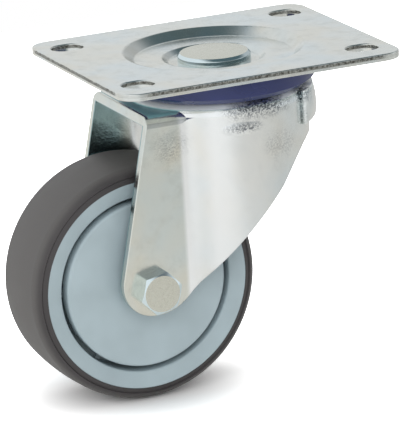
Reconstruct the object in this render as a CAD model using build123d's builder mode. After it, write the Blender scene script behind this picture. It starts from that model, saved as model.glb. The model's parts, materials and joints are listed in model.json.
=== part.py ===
from build123d import *
from math import cos, floor, pi, radians, sin, sqrt, tan
import os

# Swivel castor with a screw-on top plate.
# Frame: origin at the centre of the plate's upper face, on the swivel axis.
# +Z is up, X runs along the plate's long side, and the wheel trails towards -X.
# The side at -Y, where the axle bolt has its head, is called near; the nut side is far.
# All sizes are millimetres.

# ---- top plate: a pressed steel sheet with a dished ball race in its middle ----
plate_length = 100.0
plate_width = 85.0
plate_sheet = 2.5
plate_corner = 7.0
plate_edge_round = 0.35
bolt_spacing_x = 80.0
bolt_spacing_y = 60.0
slot_width = 9.0
slot_length = 11.0
slot_edge_round = 0.5
dish_floor_land = 4.6
dish_slope_run = 3.6
dish_depth = 2.6
socket_land = 0.8
socket_slope_run = 1.8
socket_depth = 1.5
dish_bend = 1.3

# ---- swivel bearing: two rows of loose balls round a riveted king pin ----
upper_ball = 8.0
upper_race_radius = 22.0
lower_ball = 6.0
lower_race_radius = 14.5
race_bite = 0.6
race_clearance = 0.1
ball_spacing_gap = 0.3
king_pin_shoulder_radius = 8.0
king_pin_neck_radius = 6.0
king_pin_head_radius = 12.2
king_pin_head = 2.9
king_pin_head_bevel = 0.9
king_pin_tail_radius = 9.5
king_pin_tail = 2.6
lower_race_sheet = 2.5
lower_race_land = 2.5
lower_race_rim = 3.2
crown_hole_radius = 10.0

# ---- fork: one pressed sheet, a round cup that runs forward into two flat legs ----
fork_sheet = 3.0
crown_land = 4.4
cup_bend = 4.0
leg_gap = 39.5
leg_bend = 3.6
leg_junction_radius = 8.0
inner_corner_round = 0.5
web_drop = 2.1
lip_reach = 4.1
boss_front_reach = 12.15
rear_slope = 45.0
rear_slope_reach = 15.6
rear_edge_drop = 17.7
rear_edge_round = 6.0
boss_front_radius = 11.0
boss_rear_radius = 16.0
boss_below_axle = 8.8
sheet_edge_round = 0.4
bead_stand = 2.65
bead_barrel_radius = 25.0
bead_mid_drop = 8.1
bead_depth = 12.6
bead_start_inset = 9.9
bead_edge_round = 1.4
bead_bottom_round = 1.8
flare_azimuth = 52.0
flare_lean = 5.5
flare_start_drop = 14.1

# ---- dust seal: a moulded ring on the fork's crown ----
seal_standoff = 1.2
seal_wall = 1.6
seal_top_gap = 0.3
seal_bevel = 2.6
seal_bevel_height = 1.9
seal_lift = 0.4
seal_foot_gap = 0.2
seal_foot = 1.2
seal_hem = 1.2

# ---- wheel: a moulded centre with a soft tread, covers and two ball bearings ----
trail = 35.0
axle_drop = 72.0
wheel_radius = 40.0
tread_half_width = 16.0
tread_shoulder = 5.3
tread_crown_drop = 0.4
tread_ridge_drop = 2.7
tread_side_step = 0.35
tread_thickness = 4.6
rim_inset = 0.4
rim_slope = 1.5
rim_lip_round = 0.8
rim_wall = 5.5
tread_key_height = 1.6
tread_key_half_width = 6.0
cover_gap = 1.8
cover_inset = 1.0
cover_wall = 1.8
cover_skirt_depth = 4.2
cover_edge_round = 0.9
cover_dome = 0.35
web_half_thickness = 2.5
hub_wall = 3.5
rib_count = 12
rib_thickness = 1.8
spacer_clearance = 0.6

# ---- wheel bearings ----
bearing_outside = 22.0
bearing_width = 7.0
bearing_ball = 4.0
bearing_ball_count = 7
inner_land_radius = 6.0
outer_land_radius = 9.0
bearing_clearance = 0.05
cage_half_width = 2.7
cage_wall = 1.1
bearing_cover_gap = 0.3

# ---- axle: a hexagon bolt with a lock nut ----
axle_diameter = 8.0
fit_clearance = 0.05
bolt_hole_clearance = 0.1
hexagon_flats = 13.0
bolt_head_height = 5.3
nut_height = 8.0
hexagon_face_inset = 0.4
nut_collar_height = 2.4
nut_collar_inset = 0.8
nut_collar_round = 1.2
bolt_overhang = 1.5
bolt_end_bevel = 0.8
hexagon_turn = 14.0

os.makedirs("parts", exist_ok=True)

# ---- sizes that follow from the sizes above ----
dish_floor_radius = upper_race_radius + dish_floor_land
dish_rim_radius = dish_floor_radius + dish_slope_run
socket_rim_radius = upper_race_radius - upper_ball / 2 - socket_land
socket_floor_radius = socket_rim_radius - socket_slope_run
lower_race_rim_radius = lower_race_radius + lower_ball / 2 + lower_race_land
seal_radius = dish_rim_radius + seal_standoff + seal_wall
seal_foot_radius = upper_race_radius + upper_ball / 2 + seal_foot_gap
cup_radius = upper_race_radius + crown_land + cup_bend
bead_radius = cup_radius + bead_stand
bead_start_x = cup_radius - bead_start_inset
lip_x = cup_radius + lip_reach
leg_outer = leg_gap / 2 + fork_sheet
rim_radius = wheel_radius - tread_thickness
rim_half_width = tread_half_width - rim_inset
rim_bore_radius = rim_radius - rim_wall
tread_ridge_radius = wheel_radius - tread_ridge_drop
cover_radius = rim_bore_radius - cover_gap
cover_half_width = rim_half_width - cover_inset
hub_radius = bearing_outside / 2 + hub_wall
hexagon_face_radius = hexagon_flats / 2 - hexagon_face_inset
nut_collar_radius = hexagon_flats / 2 - nut_collar_inset

# ---- places that follow from the sizes above ----
plate_under_z = -dish_depth - plate_sheet
upper_ball_z = plate_under_z - (upper_ball / 2 - race_bite)
crown_top_z = upper_ball_z - (upper_ball / 2 - race_bite)
crown_under_z = crown_top_z - fork_sheet
lower_ball_z = crown_under_z - (lower_ball / 2 - race_bite)
lower_race_z = lower_ball_z - (lower_ball / 2 - race_bite)
lower_race_under_z = lower_race_z - lower_race_sheet
socket_z = -dish_depth - socket_depth
web_top_z = crown_top_z - web_drop
rear_edge_z = crown_top_z - rear_edge_drop
bead_mid_z = crown_top_z - bead_mid_drop
bead_bottom_z = crown_top_z - bead_depth
flare_start_z = crown_top_z - flare_start_drop
boss_bottom_z = -axle_drop - boss_below_axle
bearing_face_y = cover_half_width - cover_wall - bearing_cover_gap
bearing_mid_y = bearing_face_y - bearing_width / 2
bearing_inner_y = bearing_face_y - bearing_width
bearing_pitch_radius = (inner_land_radius + outer_land_radius) / 2
axle_bore_radius = axle_diameter / 2 + fit_clearance

# ---- places on the wheel: profiles lie in axle_plane as (along the axle, away from it) ----
axle_axis = Axis((-trail, 0, -axle_drop), (0, 1, 0))
axle_plane = Plane(origin=(-trail, 0, -axle_drop), x_dir=(0, 1, 0), z_dir=(1, 0, 0))
wheel_plane = Plane(origin=(-trail, 0, -axle_drop), x_dir=(1, 0, 0), z_dir=(0, 1, 0))


def save(piece, label):
    piece.label = label
    export_step(piece, f"parts/{label}.step")


def sheet_section(points, thickness, bend):
    """A bent strip of sheet: its upper face follows the points, its lower face lies below."""
    with BuildSketch() as strip:
        with BuildLine():
            FilletPolyline(*points, radius=bend)
            offset(amount=thickness, side=Side.RIGHT)
        make_face()
    return strip.sketch


def ring_of_balls(ball, pitch_radius, height):
    """Loose balls side by side in a race round the swivel axis."""
    count = floor(2 * pi * pitch_radius / (ball + ball_spacing_gap))
    with BuildPart() as balls:
        with Locations((0, 0, height)):
            with PolarLocations(pitch_radius, count):
                Sphere(ball / 2)
    return balls.part


# ---- top plate ----
with BuildPart() as top_plate:
    with BuildSketch(Plane.XY):
        RectangleRounded(plate_length, plate_width, plate_corner)
    extrude(amount=-plate_sheet)
    fillet(top_plate.faces().sort_by(Axis.Z)[-1].edges(), plate_edge_round)
    fillet(top_plate.faces().sort_by(Axis.Z)[0].edges(), plate_edge_round)
    with BuildSketch(Plane.XY):
        with GridLocations(bolt_spacing_x, bolt_spacing_y, 2, 2):
            SlotOverall(slot_length, slot_width)
    extrude(amount=-plate_sheet, mode=Mode.SUBTRACT)
    slot_rims = top_plate.faces().sort_by(Axis.Z)[-1].inner_wires()
    fillet([edge for rim in slot_rims for edge in rim.edges()], slot_edge_round)
    dish_outer_radius = dish_rim_radius + plate_sheet + 1
    with BuildSketch(Plane.XY):
        Circle(dish_outer_radius)
    extrude(amount=-plate_sheet, mode=Mode.SUBTRACT)
    dish_section = sheet_section(
        [
            (king_pin_neck_radius, socket_z),
            (socket_floor_radius, socket_z),
            (socket_rim_radius, -dish_depth),
            (dish_floor_radius, -dish_depth),
            (dish_rim_radius, 0),
            (dish_outer_radius, 0),
        ],
        plate_sheet,
        dish_bend,
    )
    with BuildSketch(Plane.XZ):
        add(dish_section)
    revolve(axis=Axis.Z)
    with BuildSketch(Plane.XZ):
        with Locations((upper_race_radius, upper_ball_z)):
            Circle(upper_ball / 2 + race_clearance)
    revolve(axis=Axis.Z, mode=Mode.SUBTRACT)
save(top_plate.part, "top_plate")

# ---- king pin: one headed pin that holds plate, fork and lower race together ----
with BuildPart() as king_pin:
    head_top_z = socket_z + king_pin_head
    with BuildSketch(Plane.XZ):
        with BuildLine():
            Polyline(
                (0, head_top_z),
                (king_pin_head_radius - king_pin_head_bevel, head_top_z),
                (king_pin_head_radius, head_top_z - king_pin_head_bevel),
                (king_pin_head_radius, socket_z),
                (king_pin_neck_radius, socket_z),
                (king_pin_neck_radius, socket_z - plate_sheet),
                (king_pin_shoulder_radius, socket_z - plate_sheet),
                (king_pin_shoulder_radius, lower_race_z),
                (king_pin_neck_radius, lower_race_z),
                (king_pin_neck_radius, lower_race_under_z),
                (king_pin_tail_radius, lower_race_under_z),
                (king_pin_tail_radius - king_pin_head_bevel, lower_race_under_z - king_pin_tail),
                (0, lower_race_under_z - king_pin_tail),
                close=True,
            )
        make_face()
    revolve(axis=Axis.Z)
save(king_pin.part, "king_pin")

# ---- lower race: a pressed cup held by the king pin's tail ----
with BuildPart() as lower_race:
    race_section = sheet_section(
        [
            (king_pin_neck_radius, lower_race_z),
            (lower_race_rim_radius - lower_race_sheet, lower_race_z),
            (lower_race_rim_radius - lower_race_sheet / 2, lower_race_z + lower_race_rim),
        ],
        lower_race_sheet,
        dish_bend,
    )
    with BuildSketch(Plane.XZ):
        add(race_section)
    revolve(axis=Axis.Z)
    with BuildSketch(Plane.XZ):
        with Locations((lower_race_radius, lower_ball_z)):
            Circle(lower_ball / 2 + race_clearance)
    revolve(axis=Axis.Z, mode=Mode.SUBTRACT)
save(lower_race.part, "lower_race")

# ---- swivel balls ----
save(ring_of_balls(upper_ball, upper_race_radius, upper_ball_z), "upper_swivel_balls")
save(ring_of_balls(lower_ball, lower_race_radius, lower_ball_z), "lower_swivel_balls")


# ---- fork ----
def fork_form(inset):
    """The fork's bulk, bounded by its outer skin or, with an inset, by its inner skin."""
    radius = cup_radius - inset
    half_width = leg_outer - inset
    cup_top = crown_top_z - inset
    web_top = web_top_z - inset
    bend = max(cup_bend - inset, inner_corner_round)
    side_bend = max(leg_bend - inset, inner_corner_round)
    reach = 2 * lip_x
    bottom = 1.3 * boss_bottom_z
    wall_top = cup_top - bend
    with BuildPart() as form:
        with BuildSketch(Plane.XY.offset(bottom)) as plan:
            Circle(radius)
            with Locations((-reach / 2, 0)):
                Rectangle(reach, 2 * half_width)
            junctions = plan.vertices().filter_by_position(Axis.X, -radius, -half_width / 2)
            fillet(junctions, leg_junction_radius + inset)
        extrude(amount=wall_top - bottom)
        with BuildSketch(Plane.XZ):
            with BuildLine():
                Polyline(
                    (0, bottom),
                    (0, wall_top),
                    (radius, wall_top),
                    (radius + reach, wall_top - reach),
                    (radius + reach, bottom),
                    close=True,
                )
            make_face()
        revolve(axis=Axis.Z, mode=Mode.INTERSECT)
        with BuildSketch(Plane.XZ):
            with BuildLine():
                Polyline((radius, wall_top), (radius, bottom), (0, bottom), (0, cup_top), (radius - bend, cup_top))
                RadiusArc((radius - bend, cup_top), (radius, wall_top), bend)
            make_face()
        revolve(axis=Axis.Z)
        with BuildSketch(Plane.YZ):
            with BuildLine():
                FilletPolyline(
                    (-half_width, bottom),
                    (-half_width, web_top),
                    (half_width, web_top),
                    (half_width, bottom),
                    radius=side_bend,
                )
                Line((half_width, bottom), (-half_width, bottom))
            make_face()
        extrude(amount=-reach)
    return form.part


def rear_bead(inset):
    """The barrel-shaped bead across the back of the cup, as bulk like the fork's form."""
    belly = bead_radius - inset
    top = crown_top_z - cup_bend / 4 - inset
    bottom = bead_bottom_z + inset / 2
    top_radius = belly - (top - bead_mid_z) ** 2 / (2 * bead_barrel_radius)
    bottom_radius = belly - (bottom - bead_mid_z) ** 2 / (2 * bead_barrel_radius)
    root = cup_radius - 2 * fork_sheet
    start = bead_start_x + inset
    with BuildPart() as bead:
        with BuildSketch(Plane.XZ) as profile:
            with BuildLine():
                Polyline((bottom_radius, bottom), (root, bottom), (root, top), (top_radius, top))
                ThreePointArc((top_radius, top), (belly, bead_mid_z), (bottom_radius, bottom))
            make_face()
            fillet(profile.vertices().group_by(Axis.X)[-1], bead_bottom_round)
        revolve(axis=Axis.Z)
        with BuildSketch(Plane.XY.offset(bottom)) as plan:
            Circle(belly)
            with Locations((start - belly, 0)):
                Rectangle(2 * belly, 2 * belly, mode=Mode.SUBTRACT)
            fillet(plan.vertices(), bead_edge_round)
        extrude(amount=top - bottom, mode=Mode.INTERSECT)
    return bead.part


def flare_plane(inset, side):
    """The flat at the rear edge of a leg, where the wall is pressed inwards."""
    turn = radians(flare_azimuth)
    lean = radians(flare_lean)
    radius = cup_radius - inset
    return Plane(
        origin=(radius * cos(turn), side * radius * sin(turn), flare_start_z),
        z_dir=(cos(lean) * cos(turn), side * cos(lean) * sin(turn), -sin(lean)),
    )


def pressed_form(inset):
    """The fork's form with its rear flats and bead."""
    form_part = fork_form(inset)
    bead_part = rear_bead(inset)
    with BuildPart() as pressed:
        add(form_part)
        for side in (-1, 1):
            with BuildSketch(flare_plane(inset, side)):
                Rectangle(4 * cup_radius, 4 * cup_radius)
            extrude(amount=cup_radius, mode=Mode.SUBTRACT)
        add(bead_part)
    return pressed.part


outer_form = pressed_form(0)
inner_form = pressed_form(fork_sheet)
with BuildPart() as fork:
    add(outer_form)
    add(inner_form, mode=Mode.SUBTRACT)
    lean_run = (trail + boss_front_reach - lip_x) / (axle_drop + web_top_z)
    slope_run = 1 / tan(radians(rear_slope))
    sky_x = 2 * cup_radius
    front_foot_x = -lip_x - lean_run * (web_top_z - boss_bottom_z)
    slope_foot_x = -trail + rear_slope_reach - slope_run * boss_below_axle
    slope_head_x = -trail + rear_slope_reach + slope_run * (rear_edge_z + axle_drop)
    with BuildSketch(Plane.XZ):
        with BuildLine():
            FilletPolyline(
                (-lip_x - lean_run * web_top_z, 0),
                (front_foot_x, boss_bottom_z),
                (slope_foot_x, boss_bottom_z),
                (slope_head_x, rear_edge_z),
                (sky_x, rear_edge_z),
                radius=[boss_front_radius, boss_rear_radius, rear_edge_round],
            )
            Polyline((sky_x, rear_edge_z), (sky_x, 0), (-lip_x - lean_run * web_top_z, 0))
        make_face()
    extrude(amount=2 * leg_outer, both=True, mode=Mode.INTERSECT)
    cut_edges = fork.edges(Select.LAST)
    fillet([edge for edge in cut_edges if edge.distance_to(inner_form) > fork_sheet / 2], sheet_edge_round)
    with BuildSketch(Plane.XZ):
        with Locations((-trail, -axle_drop)):
            Circle(axle_diameter / 2 + bolt_hole_clearance)
    extrude(amount=2 * leg_outer, both=True, mode=Mode.SUBTRACT)
    with BuildSketch(Plane.XY.offset(crown_top_z)):
        Circle(crown_hole_radius)
    extrude(amount=-2 * fork_sheet, mode=Mode.SUBTRACT)
    with BuildSketch(Plane.XZ):
        with Locations((upper_race_radius, upper_ball_z)):
            Circle(upper_ball / 2 + race_clearance)
        with Locations((lower_race_radius, lower_ball_z)):
            Circle(lower_ball / 2 + race_clearance)
    revolve(axis=Axis.Z, mode=Mode.SUBTRACT)
save(fork.part, "fork")

# ---- dust seal ----
with BuildPart() as dust_seal:
    seal_top_z = -plate_sheet - seal_top_gap
    bend_start = cup_radius - cup_bend
    hem_drop = cup_bend - sqrt(cup_bend**2 - seal_hem**2)
    hem = (bend_start + seal_hem, crown_top_z - hem_drop)
    with BuildSketch(Plane.XZ):
        with BuildLine():
            RadiusArc((bend_start, crown_top_z), hem, cup_bend)
            Polyline(
                hem,
                (seal_radius - seal_bevel, crown_top_z + seal_lift),
                (seal_radius, crown_top_z + seal_lift + seal_bevel_height),
                (seal_radius, seal_top_z),
                (seal_radius - seal_wall, seal_top_z),
                (seal_radius - seal_wall, crown_top_z + seal_foot),
                (seal_foot_radius, crown_top_z + seal_foot),
                (seal_foot_radius, crown_top_z),
                (bend_start, crown_top_z),
            )
        make_face()
    revolve(axis=Axis.Z)
save(dust_seal.part, "dust_seal")


# ---- axle ----
def hexagon_block(side, height):
    """A hexagon against the outside of a leg, its free face turned down to a circle."""
    corner_radius = hexagon_flats / sqrt(3)
    face_y = leg_outer + height
    bevel = (corner_radius - hexagon_face_radius) * tan(radians(30))
    with BuildPart() as block:
        with BuildSketch(Plane.XZ.offset(-side * leg_outer)):
            with Locations((-trail, -axle_drop)):
                RegularPolygon(hexagon_flats / 2, 6, major_radius=False, rotation=hexagon_turn)
        extrude(amount=-side * height)
        with BuildSketch(axle_plane):
            with BuildLine():
                Polyline(
                    (side * leg_outer, 0),
                    (side * leg_outer, corner_radius),
                    (side * (face_y - bevel), corner_radius),
                    (side * face_y, hexagon_face_radius),
                    (side * face_y, 0),
                    close=True,
                )
            make_face()
        revolve(axis=axle_axis, mode=Mode.INTERSECT)
    return block.part


def sleeve(start_y, end_y, bore_radius, outside_radius):
    """A plain ring round the axle."""
    with BuildPart() as ring:
        with BuildSketch(axle_plane):
            with BuildLine():
                Polyline(
                    (start_y, bore_radius),
                    (end_y, bore_radius),
                    (end_y, outside_radius),
                    (start_y, outside_radius),
                    close=True,
                )
            make_face()
        revolve(axis=axle_axis)
    return ring.part


bolt_end_y = leg_outer + nut_height + bolt_overhang
bolt_head = hexagon_block(-1, bolt_head_height)
with BuildPart() as axle_bolt:
    with BuildSketch(wheel_plane.offset(-leg_outer)):
        Circle(axle_diameter / 2)
    extrude(amount=leg_outer + bolt_end_y)
    chamfer(axle_bolt.edges().sort_by(Axis.Y)[-1], bolt_end_bevel)
    add(bolt_head)
save(axle_bolt.part, "axle_bolt")

nut_hexagon_height = nut_height - nut_collar_height
nut_block = hexagon_block(1, nut_hexagon_height)
with BuildPart() as axle_nut:
    add(nut_block)
    with BuildSketch(wheel_plane.offset(leg_outer + nut_hexagon_height)):
        Circle(nut_collar_radius)
    extrude(amount=nut_collar_height)
    fillet(axle_nut.edges().sort_by(Axis.Y)[-1], nut_collar_round)
    with BuildSketch(wheel_plane.offset(leg_outer)):
        Circle(axle_bore_radius)
    extrude(amount=nut_height, mode=Mode.SUBTRACT)
save(axle_nut.part, "axle_nut")

save(sleeve(-leg_gap / 2, -bearing_face_y, axle_bore_radius, inner_land_radius), "near_spacer")
save(sleeve(bearing_face_y, leg_gap / 2, axle_bore_radius, inner_land_radius), "far_spacer")
save(sleeve(-bearing_inner_y, bearing_inner_y, axle_bore_radius, inner_land_radius), "spacer_tube")


# ---- wheel bearings ----
def bearing_ring(side, bore_radius, outside_radius):
    """One ring of a ball bearing, with the groove its balls run in."""
    blank = sleeve(side * bearing_inner_y, side * bearing_face_y, bore_radius, outside_radius)
    with BuildPart() as ring:
        add(blank)
        with BuildSketch(axle_plane):
            with Locations((side * bearing_mid_y, bearing_pitch_radius)):
                Circle(bearing_ball / 2 + bearing_clearance)
        revolve(axis=axle_axis, mode=Mode.SUBTRACT)
    return ring.part


def bearing_balls(side):
    """The balls of one bearing, spaced evenly round the axle."""
    with BuildPart() as balls:
        with Locations(wheel_plane.offset(side * bearing_mid_y)):
            with PolarLocations(bearing_pitch_radius, bearing_ball_count):
                Sphere(bearing_ball / 2)
    return balls.part


def bearing_cage(side):
    """The ring that keeps the balls apart, with a drilled pocket for each."""
    blank = sleeve(
        side * bearing_mid_y - cage_half_width,
        side * bearing_mid_y + cage_half_width,
        bearing_pitch_radius - cage_wall / 2,
        bearing_pitch_radius + cage_wall / 2,
    )
    with BuildPart() as cage:
        add(blank)
        with Locations(wheel_plane.offset(side * bearing_mid_y)):
            with PolarLocations(bearing_pitch_radius, bearing_ball_count):
                Cylinder(
                    bearing_ball / 2 + bearing_clearance,
                    3 * cage_wall,
                    rotation=(0, 90, 0),
                    mode=Mode.SUBTRACT,
                )
    return cage.part


for side, place in ((-1, "near"), (1, "far")):
    save(bearing_ring(side, axle_bore_radius, inner_land_radius), f"{place}_inner_ring")
    save(bearing_ring(side, outer_land_radius, bearing_outside / 2), f"{place}_outer_ring")
    save(bearing_balls(side), f"{place}_balls")
    save(bearing_cage(side), f"{place}_cage")

# ---- wheel centre ----
rim_inner_half_width = rim_half_width - rim_slope
rib_half_height = cover_half_width - cover_skirt_depth
tread_bed_radius = rim_radius + tread_key_height
with BuildPart() as wheel_core:
    with BuildSketch(axle_plane) as core_profile:
        with BuildLine():
            Polyline(
                (0, outer_land_radius),
                (bearing_inner_y, outer_land_radius),
                (bearing_inner_y, bearing_outside / 2),
                (bearing_face_y, bearing_outside / 2),
                (bearing_face_y, hub_radius),
                (web_half_thickness, hub_radius),
                (web_half_thickness, rim_bore_radius),
                (rim_inner_half_width, rim_bore_radius),
                (rim_half_width, rim_radius),
                (tread_key_half_width, rim_radius),
                (tread_key_half_width, tread_bed_radius),
                (0, tread_bed_radius),
                close=True,
            )
        make_face()
        rim_lip = core_profile.vertices().sort_by_distance((0, rim_inner_half_width, rim_bore_radius))
        fillet(rim_lip[0], rim_lip_round)
        mirror(about=Plane.YZ)
    revolve(axis=axle_axis)
    rib_overlap = 2 * rib_thickness
    with BuildSketch(wheel_plane):
        with PolarLocations((hub_radius + rim_bore_radius) / 2, rib_count):
            Rectangle(rim_bore_radius - hub_radius + rib_overlap, rib_thickness)
    extrude(amount=rib_half_height, both=True)
save(wheel_core.part, "wheel_core")


# ---- wheel covers ----
def cover_face_y(radius):
    """How far out the domed face of a cover stands at a distance from the axle."""
    return cover_half_width + cover_dome * (1 - (radius / cover_radius) ** 2)


def wheel_cover(side):
    """A domed disc over the ribs, its skirt standing on them, its middle open for the axle."""
    hole_radius = inner_land_radius + spacer_clearance
    skirt_radius = cover_radius - cover_wall
    middle_radius = cover_radius / 2
    with BuildPart() as cover:
        with BuildSketch(axle_plane) as profile:
            with BuildLine():
                Polyline(
                    (side * (cover_face_y(hole_radius) - cover_wall), hole_radius),
                    (side * cover_face_y(hole_radius), hole_radius),
                )
                ThreePointArc(
                    (side * cover_face_y(hole_radius), hole_radius),
                    (side * cover_face_y(middle_radius), middle_radius),
                    (side * cover_half_width, cover_radius),
                )
                Polyline(
                    (side * cover_half_width, cover_radius),
                    (side * rib_half_height, cover_radius),
                    (side * rib_half_height, skirt_radius),
                    (side * (cover_face_y(skirt_radius) - cover_wall), skirt_radius),
                )
                ThreePointArc(
                    (side * (cover_face_y(skirt_radius) - cover_wall), skirt_radius),
                    (side * (cover_face_y(middle_radius) - cover_wall), middle_radius),
                    (side * (cover_face_y(hole_radius) - cover_wall), hole_radius),
                )
            make_face()
            corner = (0, side * cover_half_width, cover_radius)
            fillet(profile.vertices().sort_by_distance(corner)[0], cover_edge_round)
        revolve(axis=axle_axis)
    return cover.part


save(wheel_cover(-1), "near_cover")
save(wheel_cover(1), "far_cover")

# ---- tread ----
with BuildPart() as tread:
    shoulder_y = tread_half_width - tread_shoulder
    shoulder_radius = wheel_radius - tread_crown_drop
    ridge_fall = shoulder_radius - tread_ridge_radius
    ridge_y = shoulder_y + sqrt(tread_shoulder**2 - (tread_shoulder - ridge_fall) ** 2)
    with BuildSketch(axle_plane):
        with BuildLine():
            ThreePointArc((-shoulder_y, shoulder_radius), (0, wheel_radius), (shoulder_y, shoulder_radius))
            for side in (-1, 1):
                RadiusArc(
                    (side * shoulder_y, shoulder_radius),
                    (side * ridge_y, tread_ridge_radius),
                    side * tread_shoulder,
                )
                Polyline(
                    (side * ridge_y, tread_ridge_radius),
                    (side * (ridge_y - tread_side_step), tread_ridge_radius - tread_side_step),
                    (side * rim_half_width, rim_radius),
                    (side * tread_key_half_width, rim_radius),
                    (side * tread_key_half_width, tread_bed_radius),
                    (0, tread_bed_radius),
                )
        make_face()
    revolve(axis=axle_axis)
save(tread.part, "tread")
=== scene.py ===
import json
from functools import cache, partial
from math import acos, cos, degrees, pi, radians, sin, sqrt, tan, tau

import bmesh
import bpy
from bpy.props import FloatProperty, FloatVectorProperty, IntProperty, PointerProperty, StringProperty
from bpy.types import Operator, Panel, PropertyGroup
from mathutils import Euler, Matrix, Vector


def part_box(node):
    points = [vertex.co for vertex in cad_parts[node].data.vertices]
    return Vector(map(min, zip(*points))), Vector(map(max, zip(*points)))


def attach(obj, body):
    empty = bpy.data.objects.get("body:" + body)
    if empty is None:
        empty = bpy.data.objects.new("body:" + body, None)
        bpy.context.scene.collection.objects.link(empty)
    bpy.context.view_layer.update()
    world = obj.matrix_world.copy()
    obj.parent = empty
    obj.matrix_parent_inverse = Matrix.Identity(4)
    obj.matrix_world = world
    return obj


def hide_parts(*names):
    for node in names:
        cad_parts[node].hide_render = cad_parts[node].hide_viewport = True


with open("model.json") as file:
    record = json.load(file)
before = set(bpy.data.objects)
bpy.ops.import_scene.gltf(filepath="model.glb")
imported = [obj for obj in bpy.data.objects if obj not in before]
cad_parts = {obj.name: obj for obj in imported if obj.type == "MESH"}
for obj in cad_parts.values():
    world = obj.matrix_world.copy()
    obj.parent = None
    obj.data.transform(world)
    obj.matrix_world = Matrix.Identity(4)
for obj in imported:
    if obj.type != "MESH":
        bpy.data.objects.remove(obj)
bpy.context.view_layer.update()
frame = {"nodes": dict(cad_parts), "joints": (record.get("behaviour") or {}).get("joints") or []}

bl_info = {
    "name": "Swivel Castor",
    "version": (1, 0, 0),
    "blender": (4, 5, 0),
    "location": "3D View > Sidebar > Castor",
    "description": "Dresses a swivel castor: wheel, ball rows, fasteners, finishes and a studio",
    "category": "Object",
}

MM = 0.001

# ---- Places that follow from the frame ----

JOINTS = {joint["name"]: joint for joint in frame["joints"]}
AXLE = Vector(JOINTS["wheel_spin"]["pos_m"])
PLATE_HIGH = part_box("top_plate")[1]
TREAD_LOW, TREAD_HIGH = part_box("tread")
SEAL_TOP, SEAL_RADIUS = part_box("dust_seal")[1].z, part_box("dust_seal")[1].x
PIN_LOW, PIN_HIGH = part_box("king_pin")
RING_LOW, RING_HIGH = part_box("near_outer_ring")
TREAD_RADIUS = (TREAD_HIGH.z - TREAD_LOW.z) / 2
TREAD_HALF_WIDTH = TREAD_HIGH.y
BEARING_RADIUS = (RING_HIGH.z - RING_LOW.z) / 2
FLOOR_HEIGHT = TREAD_LOW.z
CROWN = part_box("fork")[1].z
LEG_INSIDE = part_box("far_spacer")[1].y
WEB_FRONT = -34.5 * MM  # the front edge of the flat web that joins the fork's legs

# A turned piece is drawn about +Z and then turned to the swivel axis or along the axle.
UPRIGHT = (0, 0, 0)
ALONG_AXLE = (-pi / 2, 0, 0)
OUT_OF_NEAR_SIDE = (pi / 2, 0, 0)
SWIVEL_AXIS = (0, 0, 0)

# Where the fork's metal is stretched, in mm on either side: (x, |y|, z), how far that reaches
# and how coarse the metal is there.
STRETCHED_PLACES = (
    ((3, 30, -14.5), (12, 6, 3.5), 1.0),
    ((-3.5, 30, -20.5), (6, 6, 1.8), 0.8),
    ((-27, 22.8, -25), (6, 4, 5), 0.3),
    ((10, 28.5, -28), (7, 6, 5), 0.3),
    ((22, 23, -13), (5, 5, 3), 0.7),
    ((20, 23, -14.5), (3, 3, 3), 0.8),
    ((20.6, 23.2, -21.5), (1.5, 1.5, 4), 0.4),
    ((-33, 19.8, -31), (6, 1.5, 6), 0.5),
)

# Painted highlights in bands across the cup, from the legs backwards: x in mm and how bright the painted
# highlight is there.
PAINTED_HIGHLIGHT_BANDS = ((-25, 0.6), (-22.5, 1.0), (-20.5, 0.7), (-17.5, 0.5), (-13, 0.85), (-4, 0.6), (12, 0.2))

# Where the fork's finish changes: the axis (Y counts outwards on either side), where the change
# starts, where it is complete, and its course.
# These masks place the painted highlights, the painted teal reflection and the painted bluish reflection.
FORK_CHANGES = {
    "on_cup": ("X", -24.5 * MM, -22.5 * MM, "SMOOTHSTEP"),
    "inwards": ("Y", LEG_INSIDE + 0.8 * MM, LEG_INSIDE + 0.4 * MM, "LINEAR"),
    "below_crown": ("Z", CROWN - 4.8 * MM, CROWN - 5.2 * MM, "LINEAR"),
    "near_front": ("X", -22 * MM, -29 * MM, "SMOOTHSTEP"),
    "on_web": ("X", -21 * MM, -24 * MM, "SMOOTHSTEP"),
    "behind_lip": ("X", WEB_FRONT + 0.6 * MM, WEB_FRONT + 1.4 * MM, "SMOOTHSTEP"),
    "low_reflection": ("Z", CROWN - 1.6 * MM, CROWN - 2.0 * MM, "LINEAR"),
}

# The torn band of the plate's edge, as shares of its sheet below its upper face.
TORN_SHARES = (0.48, 0.04)

# The painted white highlight round the crown and the painted teal reflection on the web end this far below
# the crown on the cup and on the web, over a soft edge.
PAINT_FOOT_ON_CUP = 2.1 * MM
PAINT_FOOT_ON_WEB = 3.0 * MM
PAINT_SOFT_EDGE = 0.5 * MM

# Where the studio's ceiling is dimmest: overhead, a little to the right.
DIM_CEILING = (cos(radians(72)), 0, sin(radians(72)))

# Which way the painted shade on the floor falls: duller away from the lamps.
FLOOR_SHADE_FALL = (cos(radians(-20)), sin(radians(-20)), 0)

# The room that polished metal mirrors: how bright it is at headings from the left round to the back.
ROOM_STOPS = (
    (-180, 0.95), (-150, 1.0), (-105, 0.9), (-88, 0.5), (-74, 0.18), (-44, 0.18),
    (-30, 0.6), (-18, 0.95), (2, 0.48), (50, 0.5), (66, 0.79), (180, 0.9),
)


# ---- Sizes, colours and stage settings that a user would change ----


def length(label, description, default):
    """A size in metres, shown as a length in the sidebar."""
    return FloatProperty(
        name=label, description=description, default=default, min=0, precision=5, unit="LENGTH"
    )


def turn_setting(label, description, default):
    """An angle, given here in degrees."""
    return FloatProperty(name=label, description=description, default=radians(default), subtype="ANGLE")


def power_setting(label, description, default):
    """A lamp's power in watts."""
    return FloatProperty(name=label, description=description, default=default, unit="POWER")


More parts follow.
